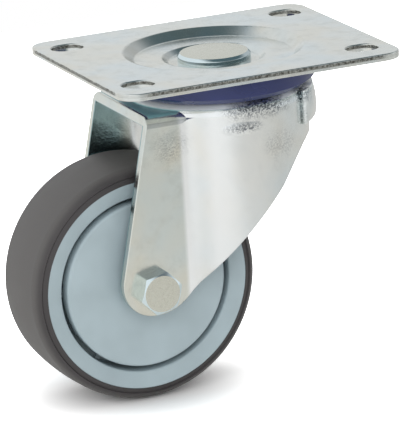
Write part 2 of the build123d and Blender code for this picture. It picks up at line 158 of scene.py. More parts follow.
def number_setting(label, description, default):
    """A plain number."""
    return FloatProperty(name=label, description=description, default=default)


def count_setting(label, description, default):
    """How many like pieces there are."""
    return IntProperty(name=label, description=description, default=default, min=3)


def tint_setting(label, description, default):
    """A colour as an sRGB hex value."""
    return StringProperty(name=label, description=description, default=default)


class CastorColours(PropertyGroup):
    """Colours of the castor's finishes, as sRGB hex values"""

    zinc: tint_setting("Zinc", "Zinc plating with a clear passivation", "#dfe2df")
    zinc_cool: tint_setting("Cool zinc", "Zinc where the passivation film turns bluish", "#d9e1e3")
    zinc_warm: tint_setting("Warm zinc", "Zinc where the passivation film turns yellowish", "#e0dfd7")
    zinc_dull: tint_setting("Dull zinc", "Small dull stains in the zinc coat", "#b9bbb5")
    fastener: tint_setting("Fastener", "Zinc coat on the sides of the king pin, bolt and nut", "#deecf0")
    # The faces' beige tint is a painted reflection; their marks and duller roughness are the fastener's own.
    forged_face_and_reflection: tint_setting("Forged face", "Zinc coat on the forged faces of those", "#d8d8ce")
    forged_marks: tint_setting("Forged marks", "Handling marks on those faces", "#cfcfc2")
    leg_film: tint_setting("Leg film", "How the film tints the flat legs of the fork", "#fcfbf6")
    # Painted highlight: the tint that the bands across the cup are painted towards.
    cup_highlight: tint_setting("Cup film", "The brighter, bluish film on the fork's drawn cup", "#fafcfd")
    # Painted highlight: a white band round the crown's bend.
    crown_highlight: tint_setting("Crown film", "The milky film where the bath drained last", "#f1f6f6")
    # Painted reflection: the teal on the web before the cup.
    web_reflection: tint_setting("Web film", "The thick bluish film on the web before the cup", "#8fc0c4")
    # Painted reflection: a darker bluish tint inside the legs, near their fronts.
    inner_reflection: tint_setting("Inner film", "The bluish film inside the legs, near their fronts", "#b9d4dd")
    # Painted shade in the pits between the grains.
    pit_shade: tint_setting("Pits", "The pits between the grains of stretched sheet", "#5d636c")
    peel_height: number_setting("Orange peel", "Its height in mm where the fork is stretched", 0.22)
    sheared_steel: tint_setting("Sheared edge", "Torn band of the plate's sheared edge", "#5a5853")
    polished_steel: tint_setting("Polished steel", "Balls and rings of the bearings", "#b9b9b7")
    tread: tint_setting("Tread", "Grey elastic rubber of the tread", "#565453")
    # Painted shade: the tread's sides are drawn darker than its crown.
    tread_side_shade: tint_setting("Tread's sides", "The tread's smooth sides", "#3d3a3b")
    centre: tint_setting("Wheel centre", "Grey-blue polypropylene of the wheel's centre", "#a8b8be")
    cover: tint_setting("Cover", "Grey-green polypropylene of the covers", "#acbcc2")
    seal: tint_setting("Dust seal", "Navy blue polyethylene of the dust seal", "#2e3768")
    nylon: tint_setting("Nylon", "Off-white nylon of the ball cages", "#dedcd0")
    floor: tint_setting("Floor", "Pale studio floor", "#fafaf8")
    # Painted shade on the floor away from the lamps.
    floor_shade: tint_setting("Floor's front", "The floor away from the lamps", "#e8e8e5")


class CastorStage(PropertyGroup):
    """Camera, lamps and floor of the studio"""

    camera_place: FloatVectorProperty(
        name="Camera",
        description="Where the camera stands",
        default=(-0.574244, -1.336853, 0.358420),
        subtype="XYZ",
        unit="LENGTH",
        precision=4,
    )
    camera_heading: turn_setting("Heading", "The line of sight's turn from +X towards +Y", 67.057)
    camera_dip: turn_setting("Dip", "How far the line of sight points below the horizon", 15.937)
    camera_roll: turn_setting("Roll", "The camera's turn about its line of sight", 3.368)
    camera_lens: FloatProperty(
        name="Lens", description="Focal length for a 36 mm sensor", default=380.3, subtype="DISTANCE_CAMERA"
    )
    floor_size: length("Floor size", "Side of the square floor", 1.0)
    # The gain is lower at the wheel's contact than far away: a painted shade that deepens the castor's
    # shadow there.
    floor_gain: number_setting("Floor gain", "How much brighter than paint the camera sees the floor", 1.0)
    floor_far_gain: number_setting("Far floor gain", "The same gain away from the castor", 3.0)
    lamp_distance: length("Softbox distance", "How far both softboxes stand from the castor", 2.0)
    key_power: power_setting("Softbox power", "Power of the softbox", 15.0)
    key_width: length("Softbox width", "Width of the softbox", 2.0)
    key_height: length("Softbox height", "Height of the softbox", 1.4)
    key_heading: turn_setting("Softbox heading", "Where it stands, from +X towards +Y", -118)
    key_rise: turn_setting("Softbox rise", "How high it stands above the horizon", 25)
    side_power: power_setting("Side softbox power", "Power of the small softbox on the left", 8.0)
    side_size: length("Side softbox size", "Width and height of the small softbox", 1.0)
    side_heading: turn_setting("Side softbox heading", "Where it stands, from +X towards +Y", 150)
    side_rise: turn_setting("Side softbox rise", "How high it stands above the horizon", 20)
    fill_level: number_setting("Fill", "Level of the room's even light", 0.66)
    horizon: tint_setting("Horizon", "The darkest that reflections meet near the horizon", "#b4b6b7")
    ceiling: tint_setting("Ceiling", "What reflections meet overhead", "#53656a")


class CastorWheel(PropertyGroup):
    """Sizes of the wheel: its tread, centre and covers"""

    wheel_radius: length("Wheel radius", "From the axle to the crown of the tread", TREAD_RADIUS)
    shoulder_start: length("Shoulder start", "Half the width of the tread's crown", 10.7 * MM)
    shoulder_radius: length("Shoulder radius", "Radius of the tread's shoulders", 5.3 * MM)
    crown_drop: length("Crown drop", "How much lower the crown is where a shoulder starts", 0.4 * MM)
    ridge_drop: length("Ridge drop", "From the crown down to the fine ridge on the tread's side", 2.7 * MM)
    side_step: length("Side step", "Depth of the step beside that ridge", 0.35 * MM)
    tread_thickness: length("Tread thickness", "From the crown down to the rim", 4.6 * MM)
    key_height: length("Key height", "How far the rim's key stands up into the tread", 1.6 * MM)
    key_half_width: length("Key half width", "Half the width of that key", 6.0 * MM)
    rim_half_width: length("Rim half width", "Half the width of the rim at the tread", TREAD_HALF_WIDTH)
    rim_wall: length("Rim wall", "From the rim's outside to its bore", 5.5 * MM)
    rim_slope: length("Rim slope", "How much narrower the rim is at its bore", 1.5 * MM)
    rim_edge_round: length("Rim edge", "Rounding of the rim's outer edge", 0.3 * MM)
    rim_lip_round: length("Rim lip", "Rounding of the rim's inner lip", 0.8 * MM)
    cover_gap: length("Cover gap", "Width of the groove between rim and cover", 1.8 * MM)
    cover_inset: length("Cover inset", "How far a cover's edge lies behind the rim's widest place", 1.0 * MM)
    cover_wall: length("Cover wall", "Wall of a cover", 1.8 * MM)
    cover_skirt: length("Cover skirt", "Depth of a cover's skirt", 4.2 * MM)
    cover_edge_round: length("Cover edge", "Rounding of a cover's edge", 0.9 * MM)
    cover_dome: length("Cover dome", "How far a cover's middle stands out", 0.35 * MM)
    cover_hole: length("Cover hole", "Radius of a cover's hole", 6.6 * MM)
    web_half_thickness: length("Web", "Half the thickness of the wheel's web", 2.5 * MM)
    hub_radius: length("Hub radius", "Outside of the hub", 14.5 * MM)
    hub_half_width: length("Hub half width", "Half the width of the hub", 12.5 * MM)
    seat_radius: length("Bearing seat", "Radius of the seat of a wheel bearing", BEARING_RADIUS)
    seat_start: length("Seat start", "Where a bearing's seat starts, from the wheel's middle", 5.5 * MM)
    hub_bore: length("Hub bore", "Radius of the hub's bore between the bearings", 9.0 * MM)
    rib_count: count_setting("Ribs", "Ribs between hub and rim", 12)
    rib_thickness: length("Rib thickness", "Thickness of a rib", 1.8 * MM)
    rib_half_height: length("Rib half height", "Half the height of a rib", 10.4 * MM)
    rib_notch: length("Rib notch", "How much lower a rib is beside the rim", 6.5 * MM)


class CastorSwivel(PropertyGroup):
    """Sizes of the swivel: the dust seal, the king pin and the balls"""

    seal_radius: length("Seal radius", "Outside of the dust seal", SEAL_RADIUS)
    seal_wall: length("Seal wall", "Wall of the dust seal", 1.6 * MM)
    seal_foot: length("Seal foot", "Thickness of the seal's foot on the crown", 1.2 * MM)
    seal_foot_radius: length("Foot radius", "Inner radius of that foot", 26.2 * MM)
    seal_seat_radius: length("Seat radius", "Radius of the crown's flat under the seal", 26.4 * MM)
    seal_hem: length("Seal hem", "How far the seal's foot follows the crown's bend", 1.2 * MM)
    crown_bend: length("Crown bend", "Radius of the crown's bend", 4.0 * MM)
    seal_bevel: length("Seal bevel", "Width of the bevel round the seal's bottom", 2.6 * MM)
    seal_bevel_height: length("Seal bevel height", "Height of that bevel", 1.9 * MM)
    seal_lift: length("Seal lift", "How far the seal's underside rises off the crown", 0.4 * MM)
    seal_rim_round: length("Seal rim", "Rounding of the seal's outer edges", 0.25 * MM)
    pin_head_radius: length("Pin head radius", "Radius of the king pin's head", PIN_HIGH.x)
    pin_head: length("Pin head", "Thickness of the king pin's head", 2.9 * MM)
    pin_bevel: length("Pin bevel", "Bevel of the king pin's head and tail", 0.9 * MM)
    pin_neck: length("Pin neck", "Radius of the neck through the plate and the lower race", 6.0 * MM)
    pin_shoulder: length("Pin shoulder", "Radius of the shoulder between the two rows of balls", 8.0 * MM)
    pin_tail_radius: length("Pin tail radius", "Radius of the riveted tail", 9.5 * MM)
    pin_tail: length("Pin tail", "Thickness of the riveted tail", 2.6 * MM)
    pin_edge_round: length("Pin edge", "Rounding of the head's bevel", 0.3 * MM)
    plate_sheet: length("Plate sheet", "Thickness of the plate's sheet", 2.5 * MM)
    upper_ball: length("Upper ball", "Diameter of a ball of the upper row", 8.0 * MM)
    upper_race: length("Upper race", "Radius of the upper row", 22.0 * MM)
    upper_count: count_setting("Upper balls", "Balls in the upper row", 16)
    lower_ball: length("Lower ball", "Diameter of a ball of the lower row", 6.0 * MM)
    lower_race: length("Lower race", "Radius of the lower row", 14.5 * MM)
    lower_count: count_setting("Lower balls", "Balls in the lower row", 14)
    wheel_ball: length("Wheel ball", "Diameter of a ball of a wheel bearing", 4.0 * MM)
    wheel_race: length("Wheel race", "Radius of a wheel bearing's row of balls", 7.5 * MM)
    wheel_count: count_setting("Wheel balls", "Balls in a wheel bearing", 7)


class CastorFasteners(PropertyGroup):
    """Sizes of the axle bolt and its lock nut"""

    leg_outer: length("Leg outside", "Half the width over the fork's legs", 22.75 * MM)
    hexagon_flats: length("Flats", "Width of a hexagon over its flats", 13.0 * MM)
    hexagon_face: length("Hexagon face", "Radius of the circle that a hexagon's face is turned to", 6.1 * MM)
    hexagon_turn: turn_setting("Hexagon turn", "How far the hexagons stand turned", 14)
    corner_blunt: length("Blunt corners", "How much a hexagon's corners are blunted", 0.12 * MM)
    head_height: length("Head height", "Height of the bolt's head", 5.3 * MM)
    nut_height: length("Nut height", "Height of the nut with its collar", 8.0 * MM)
    collar_height: length("Collar height", "Height of the nut's round collar", 2.4 * MM)
    collar_radius: length("Collar radius", "Radius of that collar", 5.7 * MM)
    collar_round: length("Collar round", "Rounding of that collar", 1.2 * MM)
    shank_radius: length("Shank radius", "Radius of the bolt's shank", 4.0 * MM)
    thread_pitch: length("Thread pitch", "Pitch of the bolt's thread", 1.25 * MM)
    thread_turns: number_setting("Thread turns", "Turns of the bolt's thread", 7.6)
    end_overhang: length("Overhang", "How far the bolt's end stands out of the nut", 1.5 * MM)
    end_bevel: length("End bevel", "Bevel of the bolt's end", 0.8 * MM)
    bore_radius: length("Nut bore", "Radius of the nut's bore", 4.05 * MM)
    nylon_radius: length("Nylon ring", "Radius of the nylon that shows in the nut's collar", 4.4 * MM)
    nylon_depth: length("Nylon depth", "How far that nylon lies below the collar's top", 0.5 * MM)


# ---- Small helpers ----

# Settings that many nodes share.
COLOURS = {"data_type": "RGBA"}
TINTING = {"data_type": "RGBA", "blend_type": "MULTIPLY"}
SMOOTHLY = {"interpolation_type": "SMOOTHSTEP"}


def colour(hex_value):
    """An sRGB hex value as linear red, green, blue and alpha."""
    digits = hex_value.lstrip("#")
    channels = [int(digits[at : at + 2], 16) / 255 for at in (0, 2, 4)]
    linear = [c / 12.92 if c <= 0.04045 else ((c + 0.055) / 1.055) ** 2.4 for c in channels]
    return (*linear, 1.0)


def add_node(tree, kind, sockets=None, **settings):
    """Adds a node; a kind without a prefix is a shader node.

    A socket takes a value, an output or a whole node, which stands for its first output in use.
    Sockets whose names repeat are numbered: a colour Mix has its factor at 0, its colours at 6 and 7.
    """
    node = tree.nodes.new(kind if "Node" in kind else f"ShaderNode{kind}")
    for name, value in settings.items():
        setattr(node, name, value)
    for name, source in (sockets or {}).items():
        if isinstance(source, bpy.types.Node):
            source = next(output for output in source.outputs if output.enabled)
        if isinstance(source, bpy.types.NodeSocket):
            tree.links.new(source, node.inputs[name])
        else:
            node.inputs[name].default_value = source
    return node


def set_stops(ramp, stops):
    """Gives a ramp its (position, colour) stops, in order."""
    elements = ramp.color_ramp.elements
    for position, _ in stops[1:-1]:
        elements.new(position)
    for element, (position, tint) in zip(elements, stops):
        element.position = position
        element.color = tint


def new_finish(name):
    """An empty material, add_node for its tree, and the place on the piece that its patterns read."""
    material = bpy.data.materials.new(name)
    material.use_nodes = True
    material.node_tree.nodes.clear()
    add = partial(add_node, material.node_tree)
    return material, add, add("TexCoord").outputs["Object"]


def give_finish(node_name, finish):
    """Puts a finish on a CAD node, which keeps its shape and place."""
    data = frame["nodes"][node_name].data
    data.materials.clear()
    data.materials.append(finish)


# ---- Geometry trees for turned pieces, rings of like pieces and the thread ----

RING_START = 10 * MM  # any radius does, as the profile is moved back by it
SAME_POINT = 0.002 * MM  # points that lie closer together are merged


def geometry_tree(name, sizes):
    """add_node and the inputs of a tree that takes a shape, its named sizes, a turn, place and finish."""
    tree = bpy.data.node_groups.new(name, "GeometryNodeTree")
    inputs = {"Geometry": "Geometry", **sizes, "Turn": "Vector", "Place": "Vector", "Finish": "Material"}
    for label, kind in inputs.items():
        tree.interface.new_socket(label, in_out="INPUT", socket_type=f"NodeSocket{kind}")
    tree.interface.new_socket("Geometry", in_out="OUTPUT", socket_type="NodeSocketGeometry")
    add = partial(add_node, tree)
    return add, add("NodeGroupInput").outputs


def finish_tree(add, inputs, geometry):
    """Turns, places, makes real and finishes the geometry, sends it out and gives the whole tree."""
    sockets = {"Geometry": geometry, "Translation": inputs["Place"], "Rotation": inputs["Turn"]}
    real = add("GeometryNodeRealizeInstances", {"Geometry": add("GeometryNodeTransform", sockets)})
    dressed = add("GeometryNodeSetMaterial", {"Geometry": real, "Material": inputs["Finish"]})
    return add("NodeGroupOutput", {"Geometry": dressed}).id_data


def sweep(add, path, profile, caps):
    """Sweeps a profile along a path, its heights kept upright, with or without caps."""
    level = add("GeometryNodeSetCurveNormal", {"Curve": path}, mode="Z_UP")
    sockets = {"Curve": level, "Profile Curve": profile, "Fill Caps": caps}
    return add("GeometryNodeCurveToMesh", sockets)


@cache
def turned_tree():
    """Sweeps a profile, drawn as (radius, height), round an axis; edges over an angle stay sharp."""
    add, inputs = geometry_tree("turned_piece", {"Segments": "Int", "Sharp Angle": "Float"})
    outline = add("GeometryNodeMeshToCurve", {"Mesh": inputs["Geometry"]})
    moved_back = {"Geometry": outline, "Translation": (-RING_START, 0, 0), "Rotation": (pi, 0, 0)}
    profile = add("GeometryNodeTransform", moved_back)
    circle = {"Radius": RING_START, "Resolution": inputs["Segments"]}
    ring = add("GeometryNodeCurvePrimitiveCircle", circle)
    swept = sweep(add, ring, profile, False)
    closed = add("GeometryNodeMergeByDistance", {"Geometry": swept, "Distance": SAME_POINT})
    smooth = add("GeometryNodeSetShadeSmooth", {"Geometry": closed}, domain="FACE")
    bend = add("GeometryNodeInputMeshEdgeAngle")
    angles = {0: bend, 1: inputs["Sharp Angle"]}
    sharp = add("FunctionNodeCompare", angles, data_type="FLOAT", operation="GREATER_THAN")
    sockets = {"Geometry": smooth, "Selection": sharp, "Shade Smooth": False}
    edged = add("GeometryNodeSetShadeSmooth", sockets, domain="EDGE")
    return finish_tree(add, inputs, edged)


@cache
def ring_tree():
    """Repeats one piece, drawn at its distance from the axis, round that axis."""
    add, inputs = geometry_tree("ring_of_pieces", {"Count": "Int"})
    points = add("GeometryNodePoints", {"Count": inputs["Count"]})
    number = add("GeometryNodeInputIndex")
    share = add("Math", {0: number, 1: inputs["Count"]}, operation="DIVIDE")
    turn = add("Math", {0: share, 1: tau}, operation="MULTIPLY")
    about_axis = add("CombineXYZ", {"Z": turn})
    sockets = {"Points": points, "Instance": inputs["Geometry"], "Rotation": about_axis}
    return finish_tree(add, inputs, add("GeometryNodeInstanceOnPoints", sockets))


@cache
def thread_tree():
    """Winds a thread's crest, drawn as (radius, height), up a screw."""
    sizes = {"Radius": "Float", "Turns": "Float", "Height": "Float", "Steps": "Int"}
    add, inputs = geometry_tree("rolled_thread", sizes)
    crest = add("GeometryNodeMeshToCurve", {"Mesh": inputs["Geometry"]})
    sockets = {
        "Resolution": inputs["Steps"],
        "Rotations": inputs["Turns"],
        "Start Radius": inputs["Radius"],
        "End Radius": inputs["Radius"],
        "Height": inputs["Height"],
    }
    helix = add("GeometryNodeCurveSpiral", sockets)
    return finish_tree(add, inputs, sweep(add, helix, crest, True))


def run_tree(name, tree, shape, sizes, finish, turn, place):
    """Runs a geometry tree on a mesh and keeps the result as a plain, outward-facing mesh object."""
    seed = bpy.data.objects.new(f"{name}_seed", shape)
    bpy.context.scene.collection.objects.link(seed)
    modifier = seed.modifiers.new("grow", "NODES")
    modifier.node_group = tree
    sockets = {
        item.name: item.identifier
        for item in tree.interface.items_tree
        if item.item_type == "SOCKET" and item.in_out == "INPUT"
    }
    for label, value in {**sizes, "Turn": turn, "Place": tuple(place), "Finish": finish}.items():
        modifier[sockets[label]] = value
    depsgraph = bpy.context.evaluated_depsgraph_get()
    data = bpy.data.meshes.new_from_object(seed.evaluated_get(depsgraph), depsgraph=depsgraph)
    seed.modifiers.remove(modifier)
    bpy.data.objects.remove(seed)
    bpy.data.meshes.remove(shape)
    return as_piece(name, data)


def as_mesh(name, work):
    """The finished work as a mesh."""
    data = bpy.data.meshes.new(name)
    work.to_mesh(data)
    work.free()
    return data


def as_piece(name, data):
    """Faces a closed mesh outward and puts it into the scene as a piece."""
    work = bmesh.new()
    work.from_mesh(data)
    bmesh.ops.recalc_face_normals(work, faces=work.faces)
    work.to_mesh(data)
    work.free()
    data.name = name
    piece = bpy.data.objects.new(name, data)
    bpy.context.scene.collection.objects.link(piece)
    return piece


def outline_mesh(points):
    """A closed outline of (radius, height) points as a mesh of edges."""
    data = bpy.data.meshes.new("outline")
    count = len(points)
    edges = [(at, (at + 1) % count) for at in range(count)]
    data.from_pydata([(radius, height, 0) for radius, height in points], edges, [])
    return data


def arc(centre, radius, start, end, steps):
    """Points on an arc round a centre, between two angles in degrees."""
    turns = [radians(start + (end - start) * at / steps) for at in range(steps + 1)]
    return [(centre[0] + radius * cos(turn), centre[1] + radius * sin(turn)) for turn in turns]


def rounded(points, corner, radius, steps=4):
    """The outline with one corner rounded; corner is its place in the list."""
    here = Vector(points[corner])
    before = (Vector(points[corner - 1]) - here).normalized()
    after = (Vector(points[(corner + 1) % len(points)]) - here).normalized()
    half = before.angle(after) / 2
    reach = radius / sin(half)
    centre = here + (before + after).normalized() * reach
    start = here + before * (reach * cos(half)) - centre
    sweep_angle = start.angle_signed(here + after * (reach * cos(half)) - centre)
    turns = [Matrix.Rotation(-sweep_angle * at / steps, 2) for at in range(steps + 1)]
    return points[:corner] + [tuple(centre + turn @ start) for turn in turns] + points[corner + 1 :]


def turn_piece(name, points, finish, turn, place, segments=192, sharp=radians(28)):
    """A piece turned from an outline of (radius, height) points."""
    sizes = {"Segments": segments, "Sharp Angle": sharp}
    return run_tree(name, turned_tree(), outline_mesh(points), sizes, finish, turn, place)


def ring_piece(name, shape, count, finish, turn, place):
    """Like pieces in a ring, as one mesh."""
    return run_tree(name, ring_tree(), shape, {"Count": count}, finish, turn, place)


def dress(piece, body, slot, *nodes):
    """Hangs a piece on a body and hides the CAD nodes that it stands for; the slot is not used."""
    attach(piece, body)
    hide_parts(*nodes)


# ---- Finishes ----

# The stretch of a noise's values, from 0 to 1, that a shade or roughness follows.
MIDDLE_OF_NOISE = {"From Min": 0.3, "From Max": 0.7}
STAIN_RANGE = {"From Min": 0.3, "From Max": 0.75}


def zinc_film(add, place, colours):
    """A passivated zinc coat's tint, with soft blotches and small dull stains, and the stains' pattern."""
    film = add(
        "TexNoise",
        {"Vector": place, "Scale": 1 / (22 * MM), "Detail": 2, "Roughness": 0.5, "Distortion": 0.6},
    )
    film_tint = add("ValToRGB", {"Fac": film})
    tints = ((0.34, colours.zinc_cool), (0.5, colours.zinc), (0.66, colours.zinc_warm))
    set_stops(film_tint, [(position, colour(tint)) for position, tint in tints])
    stain = add("TexNoise", {"Vector": place, "Scale": 1 / (5 * MM), "Detail": 5, "Roughness": 0.65})
    stained = add("MapRange", {"Value": stain, "From Min": 0.5, "From Max": 0.75, "To Max": 0.3})
    return add("Mix", {0: stained, 6: film_tint, 7: colour(colours.zinc_dull)}, **COLOURS), stain


def sheet_waves(add, place):
    """The slow waves that a press leaves in a sheet's surface."""
    wave = add("TexNoise", {"Vector": place, "Scale": 1 / (11 * MM), "Detail": 1, "Roughness": 0.4})
    return add("Bump", {"Height": wave, "Distance": 0.03 * MM})


def pressed_face(add, place, colours):
    """The shader's sockets for a pressed sheet's face: film, sheen, fine orange peel and slow waves."""
    base, stain = zinc_film(add, place, colours)
    roughness = add("MapRange", {"Value": stain, **STAIN_RANGE, "To Min": 0.17, "To Max": 0.27})
    peel = add("TexNoise", {"Vector": place, "Scale": 1 / (0.9 * MM), "Detail": 2, "Roughness": 0.6})
    sockets = {"Height": peel, "Distance": 0.004 * MM, "Normal": sheet_waves(add, place)}
    orange_peel = add("Bump", sockets)
    return {"Metallic": 1.0, "Base Color": base, "Roughness": roughness, "Normal": orange_peel}


def zinc_sheet(name, colours):
    """Zinc-plated and passivated cold-rolled sheet, pressed in a die.

    To the eye it is a bright, slightly wavy metal with soft blotches of bluish and yellowish
    film and a fine orange peel.
    """
    material, add, place = new_finish(name)
    sockets = pressed_face(add, place, colours)
    add("OutputMaterial", {"Surface": add("BsdfPrincipled", sockets)})
    return material


def torn_mask(add, place, tear, low, high):
    """Where a sheet's edge is torn: between two heights, on its sides and not at its corners."""
    blur = 0.2 * MM
    ragged_by = 0.7 * MM
    corner = 9 * MM
    corner_blur = 2 * MM
    height = add("SeparateXYZ", {"Vector": place}).outputs["Z"]
    ragged = add("Math", {0: tear, 1: ragged_by, 2: height}, operation="MULTIPLY_ADD")
    below = add("MapRange", {"Value": ragged, "From Min": high + blur, "From Max": high})
    above = add("MapRange", {"Value": ragged, "From Min": low, "From Max": low + blur})
    facing = add("NewGeometry").outputs["True Normal"]
    upright = add("SeparateXYZ", {"Vector": facing}).outputs["Z"]
    level = add("Math", {0: upright}, operation="ABSOLUTE")
    on_side = add("MapRange", {"Value": level, "From Min": 0.45, "From Max": 0.25})
    from_middle = add("VectorMath", {0: place}, operation="ABSOLUTE")
    corner_start = (PLATE_HIGH.x - corner, PLATE_HIGH.y - corner, 0)
    past_start = add("VectorMath", {0: from_middle, 1: corner_start}, operation="SUBTRACT")
    past = add("SeparateXYZ", {"Vector": past_start}).outputs
    into_corner = add("Math", {0: past["X"], 1: past["Y"]}, operation="MINIMUM")
    straight = add(
        "MapRange", {"Value": into_corner, "From Max": corner_blur, "To Min": 1, "To Max": 0.15}
    )
    mask = below
    for part in (above, on_side, straight):
        mask = add("Math", {0: mask, 1: part}, operation="MULTIPLY")
    return mask


def sheared_zinc_sheet(name, colours, low, high):
    """Zinc-plated sheet whose sheared edge is torn between two heights.

    To the eye its faces are those of the pressed sheet, and a rough grey band of broken metal with
    painted glints runs along the middle of its edge between two bright lines. The corners are sheared clean.
    """
    material, add, place = new_finish(name)
    face = pressed_face(add, place, colours)
    tear = add("TexNoise", {"Vector": place, "Scale": 1 / (0.7 * MM), "Detail": 3, "Roughness": 0.75})
    mask = torn_mask(add, place, tear, low, high)
    # Painted glints: lighter specks in the torn band.
    painted_glint = add("MapRange", {"Value": tear, "From Min": 0.4, "From Max": 0.64})
    torn_tints = {6: colour(colours.sheared_steel), 7: colour(colours.zinc_dull)}
    speck = add("Mix", {0: painted_glint, **torn_tints}, **COLOURS)
    edged = add("Mix", {0: mask, 6: face["Base Color"], 7: speck}, **COLOURS)
    rough = add("Mix", {0: mask, 2: face["Roughness"], 3: 0.45})
    grit = add("Math", {0: mask, 1: tear}, operation="MULTIPLY")
    broken = add("Bump", {"Height": grit, "Distance": 0.12 * MM, "Normal": face["Normal"]})
    sockets = {"Metallic": 1.0, "Base Color": edged, "Roughness": rough, "Normal": broken}
    add("OutputMaterial", {"Surface": add("BsdfPrincipled", sockets)})
    return material


def stretched_mask(add, place, edge_noise):
    """How coarse the fork's metal is, from 0 to 1, with ragged limits round the stretched places."""
    stretched = 0.0
    for centre, spread, coarseness in STRETCHED_PLACES:
        offset = add("VectorMath", {0: place, 1: Vector(centre) * MM}, operation="SUBTRACT")
        squeezed = add("VectorMath", {0: offset, 1: Vector(spread) * MM}, operation="DIVIDE")
        distance = add("VectorMath", {0: squeezed}, operation="LENGTH")
        ragged = add("Math", {0: distance, 1: edge_noise}, operation="ADD")
        limits = {"From Min": 0.8, "From Max": 1.9, "To Min": coarseness, "To Max": 0}
        patch = add("MapRange", {"Value": ragged, **limits}, **SMOOTHLY)
        stretched = add("Math", {0: stretched, 1: patch}, operation="MAXIMUM")
    return stretched


def fork_tint(add, axes, masks, base, colours):
    """The fork's zinc: rolled on the legs, with painted highlights in bands on the cup and a painted darker
    bluish reflection inside the legs.
    """
    rolled = add("Mix", {0: 1.0, 6: base, 7: colour(colours.leg_film)}, **TINTING)
    # Painted highlights: bands across the cup, painted from the base towards the cup's highlight tint.
    start, end = PAINTED_HIGHLIGHT_BANDS[0][0], PAINTED_HIGHLIGHT_BANDS[-1][0]
    across = add("MapRange", {"Value": axes["X"], "From Min": start * MM, "From Max": end * MM})
    highlight_ramp = add("ValToRGB", {"Fac": across})
    highlight_ramp.color_ramp.interpolation = "EASE"
    bands = [((along - start) / (end - start), (shine, shine, shine, 1)) for along, shine in PAINTED_HIGHLIGHT_BANDS]
    set_stops(highlight_ramp, bands)
    drawn = add("Mix", {0: highlight_ramp, 6: base, 7: colour(colours.cup_highlight)}, **COLOURS)
    tint = add("Mix", {0: masks["on_cup"], 6: rolled, 7: drawn}, **COLOURS)
    # Painted darker bluish reflection inside the legs, near their fronts.
    inside = masks["inwards"]
    for part in ("below_crown", "near_front"):
        inside = add("Math", {0: inside, 1: masks[part]}, operation="MULTIPLY")
    return add("Mix", {0: inside, 6: tint, 7: colour(colours.inner_reflection)}, **TINTING)


def drawn_zinc_sheet(name, colours):
    """Zinc-plated sheet that was drawn into a cup.

    To the eye the flat legs are a duller beige and the drawn cup is a bluish metal, with painted
    highlights in bands across it. Where the metal was stretched most it is a coarse orange peel,
    with painted shade in its pits. Round the crown a painted highlight stands as a white film, on
    the web before the cup a painted teal reflection, and inside the legs a painted darker bluish
    reflection.
    """
    material, add, place = new_finish(name)
    base, stain = zinc_film(add, place, colours)
    axes = add("SeparateXYZ", {"Vector": place}).outputs
    outwards = add("Math", {0: axes["Y"]}, operation="ABSOLUTE")
    either_side = {"X": axes["X"], "Y": outwards, "Z": axes["Z"]}
    masks = {}
    for change, (axis, start, end, course) in FORK_CHANGES.items():
        reach = {"Value": either_side[axis], "From Min": start, "From Max": end}
        masks[change] = add("MapRange", reach, interpolation_type=course)
    tint = fork_tint(add, axes, masks, base, colours)

    # Painted highlight round the crown and painted teal reflection on the web, drawn as a white and a teal
    # film that is less metallic.
    feet = {"To Min": CROWN - PAINT_FOOT_ON_CUP, "To Max": CROWN - PAINT_FOOT_ON_WEB}
    paint_foot = add("MapRange", {"Value": masks["on_web"], **feet})
    over_foot = add("Math", {0: axes["Z"], 1: paint_foot}, operation="SUBTRACT")
    above_foot = add("MapRange", {"Value": over_foot, "From Max": PAINT_SOFT_EDGE}, **SMOOTHLY)
    painted_milky = add("Math", {0: above_foot, 1: masks["behind_lip"]}, operation="MULTIPLY")
    painted_tints = {6: colour(colours.crown_highlight), 7: colour(colours.web_reflection)}
    film = add("Mix", {0: masks["low_reflection"], **painted_tints}, **COLOURS)
    painted_over = add("Mix", {0: painted_milky, 6: tint, 7: film}, **COLOURS)

    crystals = add(
        "TexNoise", {"Vector": place, "Scale": 1 / (0.6 * MM), "Detail": 2, "Roughness": 0.6}
    )
    edge_noise = add(
        "TexNoise", {"Vector": place, "Scale": 1 / (3 * MM), "Detail": 2, "Roughness": 0.6}
    )
    stretched = stretched_mask(add, add("CombineXYZ", either_side), edge_noise)
    # The painted film is cut where the metal is stretched; under the painted film the metal is less
    # metallic.
    painted_film_cracked = add("Math", {0: painted_milky, 1: stretched}, operation="MULTIPLY")
    whole_painted_film = add("Math", {0: painted_milky, 1: painted_film_cracked}, operation="SUBTRACT")
    metal_share = add("MapRange", {"Value": whole_painted_film, "To Min": 1, "To Max": 0.25})
    heights = {"To Min": 0.004, "To Max": colours.peel_height}
    peel_height = add("MapRange", {"Value": stretched, **heights})
    buckled = add("Math", {0: edge_noise, 1: 1.5, 2: crystals}, operation="MULTIPLY_ADD")
    peel = add("Math", {0: buckled, 1: peel_height}, operation="MULTIPLY")
    orange_peel = add("Bump", {"Height": peel, "Distance": MM, "Normal": sheet_waves(add, place)})
    # Painted shade: the pits between the grains are drawn dark.
    depths = {"From Min": 0.42, "From Max": 0.58, "To Min": 0.9, "To Max": 0}
    pit_shade = add("MapRange", {"Value": crystals, **depths})
    pit_shaded = add("Math", {0: pit_shade, 1: stretched}, operation="MULTIPLY")
    pit_shade_flecked = add("Mix", {0: pit_shaded, 6: painted_over, 7: colour(colours.pit_shade)}, **COLOURS)
    satin = add("MapRange", {"Value": stain, **STAIN_RANGE, "To Min": 0.16, "To Max": 0.25})
    sockets = {"Metallic": metal_share, "Base Color": pit_shade_flecked, "Roughness": satin, "Normal": orange_peel}
    add("OutputMaterial", {"Surface": add("BsdfPrincipled", sockets)})
    return material


